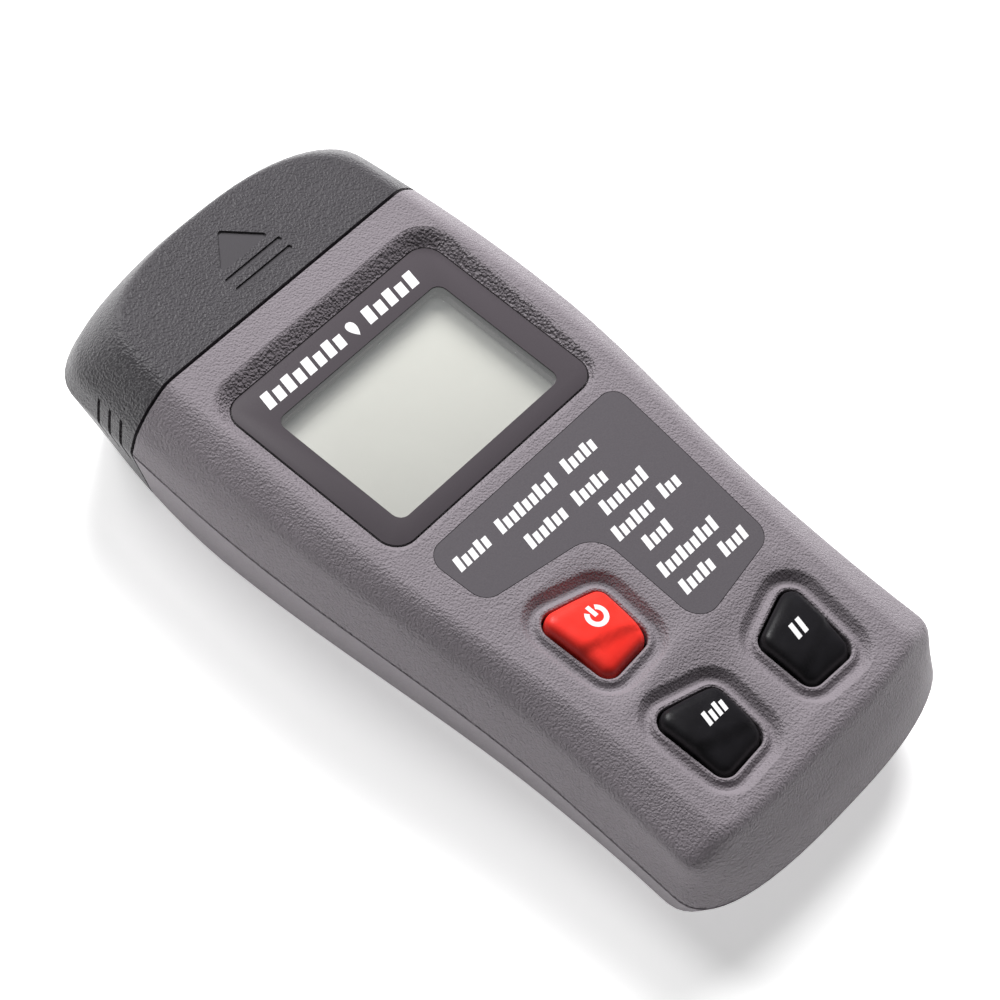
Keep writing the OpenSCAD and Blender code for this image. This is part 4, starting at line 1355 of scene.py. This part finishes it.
# ---- Battery door ----
# A flat grey lid over the battery bay. Two lugs hook it under the edge at the tail, a tongue latches
# it at the front, and grooves give the thumb a grip. A foam pad inside keeps the cells still.
door_low, door_high = corners_of("battery_door")
lid = soft_block((-DOOR_HALF, DOOR_BACK, 0), (DOOR_HALF, DOOR_FRONT, DOOR_THICK), 0.3)
lugs = [
    soft_block((x - 2.4, door_low.y, 0.9), (x + 2.4, DOOR_BACK + 0.8, DOOR_THICK), 0.12)
    for x in (-LUG_X, LUG_X)
]
tongue = soft_block((-4.4, DOOR_FRONT - 0.6, 0.5), (4.4, door_high.y, DOOR_THICK), 0.15)
grooves = []
for i in range(5):
    half, y = 6 - abs(2 - i) * 0.5, -3.5 + 2.2 * i
    grooves.append(rod((-half, y, -0.25), (half, y, -0.25), 0.62))
arrow_line = rounded_outline([(0, -13.4), (3.4, -9.4), (-3.4, -9.4)], [0.4] * 3)
door_arrow = ring_loft([
    [Vector((*(p + n * out), z)) for p, n in arrow_line] for z, out in ((-0.2, 0.25), (0.3, 0))
])
door = carve(carve(lid, "UNION", tongue, *lugs), "DIFFERENCE", door_arrow, *grooves)
grey_lid = moulded_plastic("pebbled grey lid", GREY, 0.55)
finish_piece("battery_lid", door, grey_lid, "door", ["battery_door"])
pad_low, pad_high = corners_of("door_pad")
foam = soft_block(pad_low + Vector((0.1, 0.1, 0)), pad_high - Vector((0.1, 0.1, 0)), 0.3)
long_edges = [edge for edge in foam.edges if edge.calc_length() > 3]
bmesh.ops.subdivide_edges(foam, edges=long_edges, cuts=14, use_grid_fill=True)
for v in foam.verts:
    edge_room = min(v.co.x - pad_low.x, pad_high.x - v.co.x, v.co.y - pad_low.y, pad_high.y - v.co.y)
    if v.co.z > pad_low.z + 0.5:
        v.co.z -= 0.22 * (1 - ease(edge_room / 2.2))
cells_foam, skin, place = new_material("open foam")
pores = pebbles(place, 0.00045)
coat(skin, pores, (0.045, 0.045, 0.048, 1), (0.012, 0.012, 0.013, 1), pores * 0.1 + 0.85, pores, 0.0003)
pad = finish_piece("foam_pad", foam, cells_foam, "door", ["door_pad"], 60)

# ---- Screws ----
# Four black thread-forming screws close the case from the back, deep in their holes, and four small
# zinc-plated ones hold the board. All have cross recesses.
THREAD_PITCH = 0.5


def cross_screw(x, y, seat, radius, length, head_radius, head_high):
    """A screw that points up, with its head below the seat."""
    profile = [(0, -head_high), (head_radius * 0.7, -head_high), (head_radius * 0.93, -head_high * 0.8),
               (head_radius, -head_high * 0.4), (head_radius, 0), (radius * 0.8, 0)]
    for i in range(int((length - 1) / THREAD_PITCH)):
        along = THREAD_PITCH * i
        profile += [(radius * 0.8, 0.1 + along), (radius, 0.35 + along)]
    profile += [(radius * 0.8, length - 0.8), (0, length)]
    blank = turned(profile, (x, y, seat), (0, 0, 1), 32)
    arms = []
    for wide, deep in ((head_radius * 0.62, 0.24), (0.24, head_radius * 0.62)):
        arms.append(ring_loft([
            [Vector((x + a * wide * part, y + b * deep * part, z))
             for a, b in ((-1, -1), (1, -1), (1, 1), (-1, 1))]
            for part, z in ((1, seat - head_high - 0.1), (0.3, seat - head_high * 0.15))
        ]))
    return carve(blank, "DIFFERENCE", *arms)


# Thread radius, length below the head, head radius and head height
CASE_SCREW = (1.25, 14, 2.2, 1.7)
case_screws = [cross_screw(side * x, y, seat, *CASE_SCREW) for side in (-1, 1)
               for (x, y), seat in ((HEAD_BOSS, HEAD_SEAT), (FOOT_BOSS, FOOT_SEAT))]
black_zinc = metal("black zinc", (0.06, 0.06, 0.065), 0.36)
finish_piece("case_screw_set", together(case_screws), black_zinc, "case", ["case_screws"], 40)
board_low, board_high = corners_of("board_screws")
BOARD_SCREW = (0.9, board_high.z - BOARD_LOW, 1.9, BOARD_LOW - board_low.z)
BOARD_SCREWS_AT = ((15, 40.5), (17, -8))
board_screws = [cross_screw(side * x, y, BOARD_LOW, *BOARD_SCREW) for side in (-1, 1)
                for x, y in BOARD_SCREWS_AT]
bright_zinc = metal("bright zinc", (0.62, 0.63, 0.66), 0.3)
finish_piece(
    "board_screw_set", together(board_screws), bright_zinc, "case", ["board_screws"], 40
)
